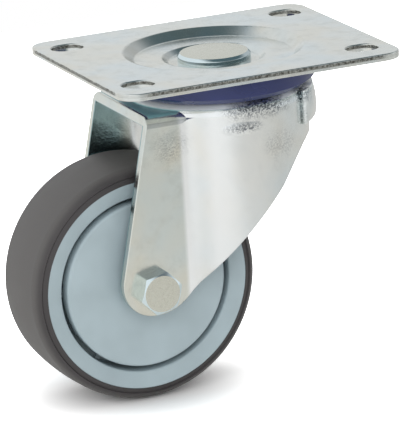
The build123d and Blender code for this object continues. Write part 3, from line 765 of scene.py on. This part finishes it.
def mottle(add, place, noise, shades, glosses):
    """The shade and the roughness that follow a soft pattern, between two values each."""
    pattern = add("TexNoise", {"Vector": place, **noise})
    return [
        add("MapRange", {"Value": pattern, **MIDDLE_OF_NOISE, "To Min": low, "To Max": high})
        for low, high in (shades, glosses)
    ]


def moulded_plastic(name, hex_value, gloss, grain_size, grain_height):
    """Injection-moulded plastic: an even satin skin with faint flow marks and a fine grain.

    The grain is drawn coarser than a mould leaves it, so that it shows.
    """
    material, add, place = new_finish(name)
    flow = {"Scale": 1 / (14 * MM), "Detail": 2, "Roughness": 0.5}
    shade, rough = mottle(add, place, flow, (0.93, 1.05), (gloss - 0.05, gloss + 0.07))
    tinted = add("VectorMath", {0: colour(hex_value)[:3], "Scale": shade}, operation="SCALE")
    grain = add("TexNoise", {"Vector": place, "Scale": 1 / grain_size, "Detail": 2, "Roughness": 0.5})
    skin = add("Bump", {"Height": grain, "Distance": grain_height})
    sockets = {"IOR": 1.49, "Base Color": tinted, "Roughness": rough, "Normal": skin}
    add("OutputMaterial", {"Surface": add("BsdfPrincipled", sockets)})
    return material


def zinc_fastener(name, colours, axis):
    """Cold-forged and zinc-plated fastener steel.

    To the eye its sides are a hard, bluish mirror, and the faces across its axis are duller, with
    fine handling marks and a painted beige reflection.
    """
    material, add, place = new_finish(name)
    facing = add("TexCoord").outputs["Normal"]
    along_axis = add("VectorMath", {0: facing, 1: axis}, operation="DOT_PRODUCT")
    squareness = add("Math", {0: along_axis}, operation="ABSOLUTE")
    on_face = add("MapRange", {"Value": squareness, "From Min": 0.93, "From Max": 0.99})
    marks = add("TexNoise", {"Vector": place, "Scale": 1 / (1.4 * MM), "Detail": 4, "Roughness": 0.65})
    # Painted reflection: the faces across the axis are tinted beige.
    face_tints = {6: colour(colours.forged_face_and_reflection), 7: colour(colours.forged_marks)}
    face_tint = add("Mix", {0: marks, **face_tints}, **COLOURS)
    tint = add("Mix", {0: on_face, 6: colour(colours.fastener), 7: face_tint}, **COLOURS)
    polish = add("MapRange", {"Value": marks, **MIDDLE_OF_NOISE, "To Min": 0.09, "To Max": 0.16})
    rough = add("Math", {0: on_face, 1: 0.14, 2: polish}, operation="MULTIPLY_ADD")
    dents = add("Bump", {"Height": marks, "Distance": 0.008 * MM})
    sockets = {"Metallic": 1.0, "Base Color": tint, "Roughness": rough, "Normal": dents}
    add("OutputMaterial", {"Surface": add("BsdfPrincipled", sockets)})
    return material


def elastic_rubber(name, colours):
    """Grey elastic rubber from a polished mould.

    To the eye the tread is a warm, slightly dusty grey with a soft sheen, and its smooth sides are
    shinier and carry painted shade that makes them darker. The pores are drawn coarser than they are, so
    that they show.
    """
    material, add, place = new_finish(name)
    dust = {"Scale": 1 / (11 * MM), "Detail": 5, "Roughness": 0.6}
    shade, dusty = mottle(add, place, dust, (0.92, 1.08), (0.46, 0.58))
    across = add("SeparateXYZ", {"Vector": place}).outputs["Y"]
    aside = add("Math", {0: across}, operation="ABSOLUTE")
    side = {"From Min": 12.5 * MM, "From Max": 15 * MM}
    on_side = add("MapRange", {"Value": aside, **side}, **SMOOTHLY)
    # Painted shade: the sides are tinted darker; their lower roughness is the mould's own.
    tints = {6: colour(colours.tread), 7: colour(colours.tread_side_shade)}
    skin_and_side_shade = add("Mix", {0: on_side, **tints}, **COLOURS)
    tinted = add("VectorMath", {0: skin_and_side_shade, "Scale": shade}, operation="SCALE")
    skin = add("TexNoise", {"Vector": place, "Scale": 1 / (0.5 * MM), "Detail": 3, "Roughness": 0.6})
    rough = add("Math", {0: on_side, 1: -0.12, 2: dusty}, operation="MULTIPLY_ADD")
    pores = add("Bump", {"Height": skin, "Distance": 0.01 * MM})
    sockets = {"IOR": 1.52, "Base Color": tinted, "Roughness": rough, "Normal": pores}
    add("OutputMaterial", {"Surface": add("BsdfPrincipled", sockets)})
    return material


def bearing_steel(name, hex_value):
    """Hardened and polished chrome steel: a bright grey mirror with faint grinding marks.

    The marks are drawn much coarser than they are, so that they show.
    """
    material, add, place = new_finish(name)
    wear = {"Scale": 1 / (1.5 * MM), "Detail": 3, "Roughness": 0.6}
    shade, rough = mottle(add, place, wear, (0.85, 1.05), (0.12, 0.24))
    tinted = add("VectorMath", {0: colour(hex_value)[:3], "Scale": shade}, operation="SCALE")
    sockets = {"Metallic": 1.0, "Base Color": tinted, "Roughness": rough}
    add("OutputMaterial", {"Surface": add("BsdfPrincipled", sockets)})
    return material


# ---- Outlines of the turned pieces, as (distance from the axis, height along it) ----


def mirrored(half):
    """A closed outline from its upper half, which runs from one point at height 0 to another."""
    lower = [(radius, -height) for radius, height in reversed(half) if height > 0]
    return half + lower


def tread_outline(wheel):
    """The tread: a crowned band with round shoulders, a fine ridge on each side and a key bed."""
    crown_edge = wheel.wheel_radius - wheel.crown_drop
    centre = (crown_edge - wheel.shoulder_radius, wheel.shoulder_start)
    ridge = wheel.wheel_radius - wheel.ridge_drop
    rim = wheel.wheel_radius - wheel.tread_thickness
    ridge_turn = degrees(acos((ridge - centre[0]) / wheel.shoulder_radius))
    step_height = centre[1] + wheel.shoulder_radius * sin(radians(ridge_turn)) - wheel.side_step
    crown = [
        (wheel.wheel_radius - wheel.crown_drop * share**2, wheel.shoulder_start * share)
        for share in (0.0, 0.2, 0.4, 0.6, 0.8)
    ]
    shoulder = arc(centre, wheel.shoulder_radius, 0, ridge_turn, 14)
    side = [
        (ridge - wheel.side_step, step_height),
        (rim, wheel.rim_half_width),
        (rim, wheel.key_half_width),
        (rim + wheel.key_height, wheel.key_half_width),
    ]
    return mirrored(crown + shoulder + side)


def centre_outline(wheel):
    """The wheel's centre: hub with bearing seats, web and rim with its key."""
    rim = wheel.wheel_radius - wheel.tread_thickness
    bore = rim - wheel.rim_wall
    lip = wheel.rim_half_width - wheel.rim_slope
    half = [
        (wheel.hub_bore, 0.0),
        (wheel.hub_bore, wheel.seat_start),
        (wheel.seat_radius, wheel.seat_start),
        (wheel.seat_radius, wheel.hub_half_width),
        (wheel.hub_radius, wheel.hub_half_width),
        (wheel.hub_radius, wheel.web_half_thickness),
        (bore, wheel.web_half_thickness),
        (bore, lip),
        (rim, wheel.rim_half_width),
        (rim, wheel.key_half_width),
        (rim + wheel.key_height, wheel.key_half_width),
        (rim + wheel.key_height, 0.0),
    ]
    edge, lip_corner, web_corner, hub_corner = 8, 7, 6, 5
    half = rounded(half, edge, wheel.rim_edge_round)
    half = rounded(half, lip_corner, wheel.rim_lip_round, 6)
    half = rounded(half, web_corner, wheel.rim_lip_round)
    half = rounded(half, hub_corner, wheel.rim_lip_round)
    return mirrored(half)


def cover_outline(wheel):
    """A cover: a slightly domed disc with a skirt, its outside at the larger heights."""
    radius = wheel.wheel_radius - wheel.tread_thickness - wheel.rim_wall - wheel.cover_gap
    edge = wheel.rim_half_width - wheel.cover_inset
    skirt = radius - wheel.cover_wall
    shares = (0.0, 0.25, 0.5, 0.75, 1.0)

    def face(at):
        return edge + wheel.cover_dome * (1 - (at / radius) ** 2)

    outside = [wheel.cover_hole + (radius - wheel.cover_hole) * share for share in shares]
    inside = [skirt + (wheel.cover_hole - skirt) * share for share in shares]
    points = [(at, face(at)) for at in outside]
    points += [(radius, edge - wheel.cover_skirt), (skirt, edge - wheel.cover_skirt)]
    points += [(at, face(at) - wheel.cover_wall) for at in inside]
    return rounded(points, len(shares) - 1, wheel.cover_edge_round, 8)


def seal_outline(swivel, crown):
    """The dust seal: a foot on the crown and its bend, and a rim up to the plate, bevelled below."""
    outside = swivel.seal_radius
    inside = outside - swivel.seal_wall
    bottom = crown + swivel.seal_lift
    bend_middle = (swivel.seal_seat_radius, crown - swivel.crown_bend)
    hem_turn = degrees(acos(swivel.seal_hem / swivel.crown_bend))
    hem = arc(bend_middle, swivel.crown_bend, 90, hem_turn, 6)
    rim = [
        (outside - swivel.seal_bevel, bottom),
        (outside, bottom + swivel.seal_bevel_height),
        (outside, SEAL_TOP),
        (inside, SEAL_TOP),
        (inside, crown + swivel.seal_foot),
        (swivel.seal_foot_radius, crown + swivel.seal_foot),
        (swivel.seal_foot_radius, crown),
    ]
    points = hem + rim
    for corner in reversed(range(len(hem), len(points) - 1)):
        points = rounded(points, corner, swivel.seal_rim_round)
    return points


def pin_outline(swivel):
    """The king pin: its head, a neck through the plate, a shoulder and the riveted tail."""
    top = PIN_HIGH.z
    under_head = top - swivel.pin_head
    tail_top = PIN_LOW.z + swivel.pin_tail
    points = [
        (0, top),
        (swivel.pin_head_radius - swivel.pin_bevel, top),
        (swivel.pin_head_radius, top - swivel.pin_bevel),
        (swivel.pin_head_radius, under_head),
        (swivel.pin_neck, under_head),
        (swivel.pin_neck, under_head - swivel.plate_sheet),
        (swivel.pin_shoulder, under_head - swivel.plate_sheet),
        (swivel.pin_shoulder, tail_top + swivel.plate_sheet),
        (swivel.pin_neck, tail_top + swivel.plate_sheet),
        (swivel.pin_neck, tail_top),
        (swivel.pin_tail_radius, tail_top),
        (swivel.pin_tail_radius - swivel.pin_bevel, PIN_LOW.z),
        (0, PIN_LOW.z),
    ]
    tail_edge, bevel_foot, bevel_top = 11, 2, 1
    for corner in (tail_edge, bevel_foot, bevel_top):
        points = rounded(points, corner, swivel.pin_edge_round)
    return points


def thread_depth(bolt):
    """How far the thread's crest stands out of its core."""
    return 0.5 * bolt.thread_pitch * sqrt(3) / 2


def shank_outline(bolt):
    """The bolt's shank from its head to its end, thinner where the thread is rolled."""
    core = bolt.shank_radius - thread_depth(bolt)
    end = bolt.leg_outer + bolt.nut_height + bolt.end_overhang
    return [
        (0, -bolt.leg_outer),
        (bolt.shank_radius, -bolt.leg_outer),
        (bolt.shank_radius, bolt.leg_outer - bolt.thread_pitch),
        (core, bolt.leg_outer),
        (core, end - bolt.end_bevel / 2),
        (core - bolt.end_bevel / 2, end),
        (0, end),
    ]


# ---- Pieces that are not turned ----

HEXAGON_BEVEL = radians(30)
SHARP_EDGE = radians(20)
SAME_CORNER = 0.001 * MM  # corners that lie closer together are merged


def hexagon_reach(angle, bolt, turn):
    """From a hexagon's middle to its outside at an angle, with blunted corners."""
    from_flat = (angle - turn) % (pi / 3) - pi / 6
    across_corners = bolt.hexagon_flats / sqrt(3)
    return min(bolt.hexagon_flats / 2 / cos(from_flat), across_corners - bolt.corner_blunt)


def hexagon_mesh(rows, bolt, turn, steps=192):
    """A hexagon piece from rows round its axis.

    A row is (radius, height); a radius of None follows the hexagon, and a height of None
    follows the bevel that turns the hexagon down to its round face.
    """
    face_height = next(height for radius, height in rows if radius == bolt.hexagon_face)
    work = bmesh.new()
    rings = []
    for radius, height in rows:
        ring = []
        for at in range(steps):
            angle = tau * at / steps
            reach = hexagon_reach(angle, bolt, turn) if radius is None else radius
            bevelled = face_height - max(0, reach - bolt.hexagon_face) * tan(HEXAGON_BEVEL)
            level = bevelled if height is None else height
            ring.append(work.verts.new((reach * cos(angle), reach * sin(angle), level)))
        rings.append(ring)
    closed = rows[0][0] != 0
    for lower, upper in zip(rings, rings[1:] + rings[:1] if closed else rings[1:]):
        for at in range(steps):
            ahead = (at + 1) % steps
            work.faces.new((lower[at], lower[ahead], upper[ahead], upper[at]))
    bmesh.ops.remove_doubles(work, verts=work.verts, dist=SAME_CORNER)
    for face in work.faces:
        face.smooth = True
    for edge in work.edges:
        edge.smooth = len(edge.link_faces) == 2 and edge.calc_face_angle() < SHARP_EDGE
    return as_mesh("hexagon", work)


def placed(data, turn, place):
    """A mesh turned and put in its place."""
    data.transform(Matrix.Translation(place) @ Euler(turn).to_matrix().to_4x4())
    return data


def ball_mesh(diameter, race_radius):
    """One ball at its distance from the axis."""
    work = bmesh.new()
    centre = Matrix.Translation((race_radius, 0, 0))
    bmesh.ops.create_uvsphere(work, u_segments=32, v_segments=16, radius=diameter / 2, matrix=centre)
    for face in work.faces:
        face.smooth = True
    return as_mesh("ball", work)


def rib_mesh(wheel):
    """One rib between hub and rim, lower beside the rim where the groove is open."""
    bore = wheel.wheel_radius - wheel.tread_thickness - wheel.rim_wall
    notch = bore - wheel.cover_gap
    high = wheel.rib_half_height
    low = high - wheel.rib_notch
    upper = [(wheel.hub_radius - wheel.rib_thickness, high), (notch, high), (notch, low)]
    upper.append((bore + wheel.rib_thickness / 2, low))
    outline = upper + [(along, -height) for along, height in reversed(upper)]
    work = bmesh.new()
    base = [work.verts.new((along, -wheel.rib_thickness / 2, height)) for along, height in outline]
    side = work.faces.new(base)
    raised = bmesh.ops.extrude_face_region(work, geom=[side])
    moved = [part for part in raised["geom"] if isinstance(part, bmesh.types.BMVert)]
    bmesh.ops.translate(work, verts=moved, vec=(0, wheel.rib_thickness, 0))
    return as_mesh("rib", work)


# ---- Operators: one for each piece or group of like pieces, and one for the studio ----


class CASTOR_OT_plate(Operator):
    """Finishes the pressed top plate"""

    bl_idname = "castor.plate"
    bl_label = "Top plate"

    def execute(self, context):
        scene = context.scene
        sheet = scene.castor_swivel.plate_sheet
        low, high = (PLATE_HIGH.z - share * sheet for share in TORN_SHARES)
        give_finish("top_plate", sheared_zinc_sheet("zinc_plate_sheet", scene.castor_colours, low, high))
        return {"FINISHED"}


class CASTOR_OT_fork(Operator):
    """Finishes the pressed fork"""

    bl_idname = "castor.fork"
    bl_label = "Fork"

    def execute(self, context):
        give_finish("fork", drawn_zinc_sheet("zinc_fork_sheet", context.scene.castor_colours))
        return {"FINISHED"}


class CASTOR_OT_seal(Operator):
    """Makes the moulded dust seal"""

    bl_idname = "castor.seal"
    bl_label = "Dust seal"

    def execute(self, context):
        scene = context.scene
        navy = scene.castor_colours.seal
        finish = moulded_plastic("polyethylene_seal", navy, 0.3, 0.6 * MM, 0.004 * MM)
        outline = seal_outline(scene.castor_swivel, CROWN)
        seal = turn_piece("dust_seal_ring", outline, finish, UPRIGHT, SWIVEL_AXIS, 256)
        dress(seal, "fork", "seal_plastic", "dust_seal")
        return {"FINISHED"}


class CASTOR_OT_pin(Operator):
    """Makes the turned and riveted king pin"""

    bl_idname = "castor.pin"
    bl_label = "King pin"

    def execute(self, context):
        scene = context.scene
        finish = zinc_fastener("zinc_king_pin", scene.castor_colours, (0, 0, 1))
        pin = turn_piece("king_pin_turned", pin_outline(scene.castor_swivel), finish, UPRIGHT, SWIVEL_AXIS)
        dress(pin, "plate", "zinc_fastener", "king_pin")
        give_finish("lower_race", zinc_sheet("zinc_race_sheet", scene.castor_colours))
        return {"FINISHED"}


class CASTOR_OT_swivel_balls(Operator):
    """Makes the two rows of balls of the swivel"""

    bl_idname = "castor.swivel_balls"
    bl_label = "Swivel balls"

    def execute(self, context):
        swivel = context.scene.castor_swivel
        steel = bearing_steel("chrome_steel_ball", context.scene.castor_colours.polished_steel)
        rows = {
            "upper": (swivel.upper_ball, swivel.upper_race, swivel.upper_count),
            "lower": (swivel.lower_ball, swivel.lower_race, swivel.lower_count),
        }
        for row, (ball, race, count) in rows.items():
            place = JOINTS[f"{row}_ball_ring_spin"]["pos_m"]
            balls = ring_piece(f"{row}_balls", ball_mesh(ball, race), count, steel, UPRIGHT, place)
            dress(balls, f"{row}_ball_ring", "bearing_steel", f"{row}_swivel_balls")
        return {"FINISHED"}


class CASTOR_OT_centre(Operator):
    """Makes the wheel's moulded centre with its ribs"""

    bl_idname = "castor.centre"
    bl_label = "Wheel centre"

    def execute(self, context):
        scene = context.scene
        wheel = scene.castor_wheel
        grey = scene.castor_colours.centre
        finish = moulded_plastic("polypropylene_centre", grey, 0.42, 0.5 * MM, 0.006 * MM)
        centre = turn_piece("wheel_centre", centre_outline(wheel), finish, ALONG_AXLE, AXLE, 256)
        dress(centre, "wheel", "wheel_plastic", "wheel_core")
        ribs = ring_piece("wheel_ribs", rib_mesh(wheel), wheel.rib_count, finish, ALONG_AXLE, AXLE)
        dress(ribs, "wheel", "wheel_plastic", "wheel_core")
        return {"FINISHED"}


class CASTOR_OT_tread(Operator):
    """Makes the soft tread"""

    bl_idname = "castor.tread"
    bl_label = "Tread"

    def execute(self, context):
        scene = context.scene
        finish = elastic_rubber("elastic_rubber_tread", scene.castor_colours)
        outline = tread_outline(scene.castor_wheel)
        tread = turn_piece("tread_band", outline, finish, ALONG_AXLE, AXLE, 320, radians(35))
        dress(tread, "wheel", "tread_rubber", "tread")
        return {"FINISHED"}


class CASTOR_OT_covers(Operator):
    """Makes the two covers of the wheel"""

    bl_idname = "castor.covers"
    bl_label = "Covers"

    def execute(self, context):
        scene = context.scene
        grey = scene.castor_colours.cover
        finish = moulded_plastic("polypropylene_cover", grey, 0.42, 0.5 * MM, 0.006 * MM)
        outline = cover_outline(scene.castor_wheel)
        for side, turn in (("near", OUT_OF_NEAR_SIDE), ("far", ALONG_AXLE)):
            cover = turn_piece(f"{side}_disc", outline, finish, turn, AXLE, 256)
            dress(cover, "wheel", "cover_plastic", f"{side}_cover")
        return {"FINISHED"}


class CASTOR_OT_bearings(Operator):
    """Makes the balls of the wheel bearings and finishes their rings, cages and sleeves"""

    bl_idname = "castor.bearings"
    bl_label = "Wheel bearings"

    def execute(self, context):
        scene = context.scene
        swivel = scene.castor_swivel
        steel = bearing_steel("chrome_steel_ground", scene.castor_colours.polished_steel)
        nylon = moulded_plastic("nylon_cage", scene.castor_colours.nylon, 0.4, 0.5 * MM, 0.004 * MM)
        sleeve = zinc_fastener("zinc_sleeve", scene.castor_colours, (0, 1, 0))
        for side in ("near", "far"):
            place = JOINTS[f"{side}_ball_set_spin"]["pos_m"]
            ball = ball_mesh(swivel.wheel_ball, swivel.wheel_race)
            name = f"{side}_bearing_balls"
            balls = ring_piece(name, ball, swivel.wheel_count, steel, ALONG_AXLE, place)
            dress(balls, f"{side}_ball_set", "bearing_steel", f"{side}_balls")
            finishes = {"inner_ring": steel, "outer_ring": steel, "cage": nylon, "spacer": sleeve}
            for part, finish in finishes.items():
                give_finish(f"{side}_{part}", finish)
        give_finish("spacer_tube", sleeve)
        return {"FINISHED"}


class CASTOR_OT_bolt(Operator):
    """Makes the axle bolt: hexagon head, shank and rolled thread"""

    bl_idname = "castor.bolt"
    bl_label = "Axle bolt"

    def execute(self, context):
        scene = context.scene
        bolt = scene.castor_fasteners
        finish = zinc_fastener("zinc_bolt", scene.castor_colours, (0, 1, 0))
        top = bolt.head_height
        rows = [(0, 0), (None, 0), (None, None), (bolt.hexagon_face, top), (0, top)]
        out = AXLE - Vector((0, bolt.leg_outer, 0))
        data = placed(hexagon_mesh(rows, bolt, bolt.hexagon_turn), OUT_OF_NEAR_SIDE, out)
        data.materials.append(finish)
        head = as_piece("bolt_head", data)
        shank = turn_piece("bolt_shank", shank_outline(bolt), finish, ALONG_AXLE, AXLE, 96)
        for piece in (head, shank, rolled_thread(bolt, finish)):
            dress(piece, "fork", "zinc_fastener", "axle_bolt")
        return {"FINISHED"}


def rolled_thread(bolt, finish):
    """The thread's crest, wound up the bolt's end."""
    depth = thread_depth(bolt)
    half = 0.44 * bolt.thread_pitch  # so that a narrow root stays free between two turns
    crest = outline_mesh([(-depth / 2, half), (-depth / 2, -half), (depth, 0)])
    sizes = {
        "Radius": bolt.shank_radius - depth,
        "Turns": bolt.thread_turns,
        "Height": bolt.thread_turns * bolt.thread_pitch,
        "Steps": 48,
    }
    start = AXLE + Vector((0, bolt.leg_outer, 0))
    return run_tree("bolt_thread", thread_tree(), crest, sizes, finish, ALONG_AXLE, start)


class CASTOR_OT_nut(Operator):
    """Makes the lock nut with its collar, which holds a nylon ring"""

    bl_idname = "castor.nut"
    bl_label = "Lock nut"

    def execute(self, context):
        scene = context.scene
        bolt = scene.castor_fasteners
        hexagon_height = bolt.nut_height - bolt.collar_height
        nylon_top = bolt.nut_height - bolt.nylon_depth
        bend_middle = (bolt.collar_radius - bolt.collar_round, bolt.nut_height - bolt.collar_round)
        rows = [
            (bolt.bore_radius, 0),
            (None, 0),
            (None, None),
            (bolt.hexagon_face, hexagon_height),
            (bolt.collar_radius, hexagon_height),
            *arc(bend_middle, bolt.collar_round, 0, 80, 6),
            (bolt.nylon_radius, nylon_top),
            (bolt.bore_radius, nylon_top),
        ]
        out = AXLE + Vector((0, bolt.leg_outer, 0))
        data = placed(hexagon_mesh(rows, bolt, -bolt.hexagon_turn), ALONG_AXLE, out)
        data.materials.append(zinc_fastener("zinc_nut", scene.castor_colours, (0, 1, 0)))
        dress(as_piece("lock_nut", data), "fork", "zinc_fastener", "axle_nut")
        return {"FINISHED"}


class CASTOR_OT_stage(Operator):
    """Sets up the floor, the lamps, the white surroundings and the camera"""

    bl_idname = "castor.stage"
    bl_label = "Studio"

    def execute(self, context):
        stage = context.scene.castor_stage
        for name in ("Cube", "Light", "Camera"):
            if name in bpy.data.objects:
                bpy.data.objects.remove(bpy.data.objects[name])
        context.scene.view_settings.view_transform = "Standard"
        make_floor(context, stage, context.scene.castor_colours)
        key_size = (stage.key_width, stage.key_height)
        key_way = heading_vector(stage.key_heading, stage.key_rise)
        make_softbox(context, "softbox", key_size, stage.key_power, key_way * stage.lamp_distance)
        side_size = (stage.side_size, stage.side_size)
        side_way = heading_vector(stage.side_heading, stage.side_rise)
        make_softbox(context, "side_softbox", side_size, stage.side_power, side_way * stage.lamp_distance)
        make_surroundings(context, stage)
        make_camera(context, stage)
        return {"FINISHED"}


def heading_vector(heading, rise):
    """One metre towards a heading, counted from +X towards +Y, and a rise above the horizon."""
    return Vector((cos(heading) * cos(rise), sin(heading) * cos(rise), sin(rise)))


def make_floor(context, stage, colours):
    """A wide pale floor that shows white where it is lit and keeps the castor's shadow, with painted shade
    away from the lamps and round the wheel's contact.
    """
    half = stage.floor_size / 2
    data = bpy.data.meshes.new("floor")
    corners = [(-half, -half), (half, -half), (half, half), (-half, half)]
    data.from_pydata([(x, y, FLOOR_HEIGHT) for x, y in corners], [], [(0, 1, 2, 3)])
    floor = bpy.data.objects.new("floor", data)
    context.scene.collection.objects.link(floor)
    material, add, place = new_finish("painted_floor")
    data.materials.append(material)

    # Painted shade: the floor is painted duller away from the lamps.
    forwards = add("VectorMath", {0: place, 1: FLOOR_SHADE_FALL}, operation="DOT_PRODUCT")
    front = {"From Min": 30 * MM, "From Max": 150 * MM}
    painted_shade = add("MapRange", {"Value": forwards, **front}, **SMOOTHLY)
    paint_and_shade_tints = {6: colour(colours.floor), 7: colour(colours.floor_shade)}
    paint_and_shade = add("Mix", {0: painted_shade, **paint_and_shade_tints}, **COLOURS)
    # Painted shade: the camera's gain is lower round the wheel's contact, which deepens the shadow there;
    # further out it bleaches the floor white.
    contact = (AXLE.x, AXLE.y, FLOOR_HEIGHT)
    from_contact = add("VectorMath", {0: place, 1: contact}, operation="DISTANCE")
    reach = {"From Min": 10 * MM, "From Max": 72 * MM}
    gains = {"To Min": stage.floor_gain, "To Max": stage.floor_far_gain}
    bleach_and_contact_shade = add("MapRange", {"Value": from_contact, **reach, **gains}, **SMOOTHLY)
    gain = add("CombineXYZ", {"X": bleach_and_contact_shade, "Y": bleach_and_contact_shade, "Z": bleach_and_contact_shade})
    camera_ray = add("LightPath").outputs["Is Camera Ray"]
    bleached = add("Mix", {0: camera_ray, 6: paint_and_shade, 7: gain}, **COLOURS)
    paint = add("BsdfDiffuse", {"Color": bleached})
    add("OutputMaterial", {"Surface": paint})


def make_softbox(context, name, size, power, place):
    """A softbox that faces the castor's middle from its place, and that metal doesn't mirror."""
    lamp = bpy.data.lights.new(name, "AREA")
    lamp.shape = "RECTANGLE"
    lamp.size, lamp.size_y = size
    lamp.energy = power
    softbox = bpy.data.objects.new(name, lamp)
    softbox.location = Vector((0, 0, FLOOR_HEIGHT / 2)) + place
    softbox.rotation_euler = (-place).to_track_quat("-Z", "Y").to_euler()
    softbox.visible_glossy = False
    context.scene.collection.objects.link(softbox)


def room_tint(level):
    """A wall's colour at a level of brightness: a slightly cool white or grey."""
    return (level, min(1, level + 0.02), min(1, level + 0.03), 1)


def mirrored_room(add, stage):
    """The room that polished metal mirrors.

    It has a dim ceiling, a dark gap between the front and the right, which starts above the
    horizon, and is pale elsewhere.
    """
    direction = add("TexCoord").outputs["Generated"]
    axes = add("SeparateXYZ", {"Vector": direction}).outputs
    heading = add("Math", {0: axes["Y"], 1: axes["X"]}, operation="ARCTAN2")
    round_room = add("MapRange", {"Value": heading, "From Min": -pi, "From Max": pi})
    walls = add("ValToRGB", {"Fac": round_room})
    set_stops(walls, [(turn / 360 + 0.5, room_tint(level)) for turn, level in ROOM_STOPS])
    low = {"From Min": sin(radians(38)), "From Max": sin(radians(18))}
    near_horizon = add("MapRange", {"Value": axes["Z"], **low}, **SMOOTHLY)
    sockets = {0: near_horizon, 6: walls, 7: colour(stage.horizon)}
    low_walls = add("Mix", sockets, data_type="RGBA", blend_type="LIGHTEN")
    upwards = add("VectorMath", {0: direction, 1: DIM_CEILING}, operation="DOT_PRODUCT")
    cone = {"From Min": cos(radians(46)), "From Max": cos(radians(26))}
    overhead = add("MapRange", {"Value": upwards, **cone}, **SMOOTHLY)
    return add("Mix", {0: overhead, 6: low_walls, 7: colour(stage.ceiling)}, **COLOURS)


def make_surroundings(context, stage):
    """White surroundings for the camera, even light, and a room for polished metal to mirror."""
    world = bpy.data.worlds.new("studio")
    context.scene.world = world
    world.use_nodes = True
    world.node_tree.nodes.clear()
    add = partial(add_node, world.node_tree)
    ray = add("LightPath").outputs
    mirrors = {0: ray["Is Glossy Ray"], 1: ray["Is Transmission Ray"]}
    mirrored_ray = add("Math", mirrors, operation="MAXIMUM")
    fill = (stage.fill_level, stage.fill_level, stage.fill_level, 1)
    level = add("Mix", {0: mirrored_ray, 6: fill, 7: mirrored_room(add, stage)}, **COLOURS)
    seen = add("Mix", {0: ray["Is Camera Ray"], 6: level, 7: (1, 1, 1, 1)}, **COLOURS)
    light = add("Background", {"Color": seen, "Strength": 1.0})
    add("OutputWorld", {"Surface": light})


def make_camera(context, stage):
    """The camera, from its place, heading, dip and roll."""
    data = bpy.data.cameras.new("camera")
    data.lens = stage.camera_lens
    data.clip_start = 0.05
    data.clip_end = 50
    camera = bpy.data.objects.new("camera", data)
    sight = heading_vector(stage.camera_heading, -stage.camera_dip)
    level_right = sight.cross(Vector((0, 0, 1))).normalized()
    right = Matrix.Rotation(stage.camera_roll, 3, sight) @ level_right
    turn = Matrix((right, right.cross(sight), -sight)).transposed()
    camera.matrix_world = Matrix.Translation(stage.camera_place) @ turn.to_4x4()
    context.scene.collection.objects.link(camera)
    context.scene.camera = camera


# ---- Add-on registration ----


class CASTOR_PT_pieces(Panel):
    """Lists the castor's pieces and its studio"""

    bl_idname = "CASTOR_PT_pieces"
    bl_label = "Swivel castor"
    bl_space_type = "VIEW_3D"
    bl_region_type = "UI"
    bl_category = "Castor"

    def draw(self, context):
        for operator in PIECES:
            self.layout.operator(operator.bl_idname)


PIECES = (
    CASTOR_OT_plate,
    CASTOR_OT_fork,
    CASTOR_OT_seal,
    CASTOR_OT_pin,
    CASTOR_OT_swivel_balls,
    CASTOR_OT_centre,
    CASTOR_OT_tread,
    CASTOR_OT_covers,
    CASTOR_OT_bearings,
    CASTOR_OT_bolt,
    CASTOR_OT_nut,
    CASTOR_OT_stage,
)
GROUPS = {
    "castor_colours": CastorColours,
    "castor_wheel": CastorWheel,
    "castor_swivel": CastorSwivel,
    "castor_fasteners": CastorFasteners,
    "castor_stage": CastorStage,
}


def register():
    for name, group in GROUPS.items():
        bpy.utils.register_class(group)
        setattr(bpy.types.Scene, name, PointerProperty(type=group))
    for operator in PIECES:
        bpy.utils.register_class(operator)
    bpy.utils.register_class(CASTOR_PT_pieces)


def unregister():
    bpy.utils.unregister_class(CASTOR_PT_pieces)
    for operator in reversed(PIECES):
        bpy.utils.unregister_class(operator)
    for name, group in reversed(GROUPS.items()):
        delattr(bpy.types.Scene, name)
        bpy.utils.unregister_class(group)


def main():
    """Makes every piece in order."""
    register()
    bpy.ops.castor.plate()
    bpy.ops.castor.fork()
    bpy.ops.castor.seal()
    bpy.ops.castor.pin()
    bpy.ops.castor.swivel_balls()
    bpy.ops.castor.centre()
    bpy.ops.castor.tread()
    bpy.ops.castor.covers()
    bpy.ops.castor.bearings()
    bpy.ops.castor.bolt()
    bpy.ops.castor.nut()
    bpy.ops.castor.stage()


if __name__ == "__main__":
    main()
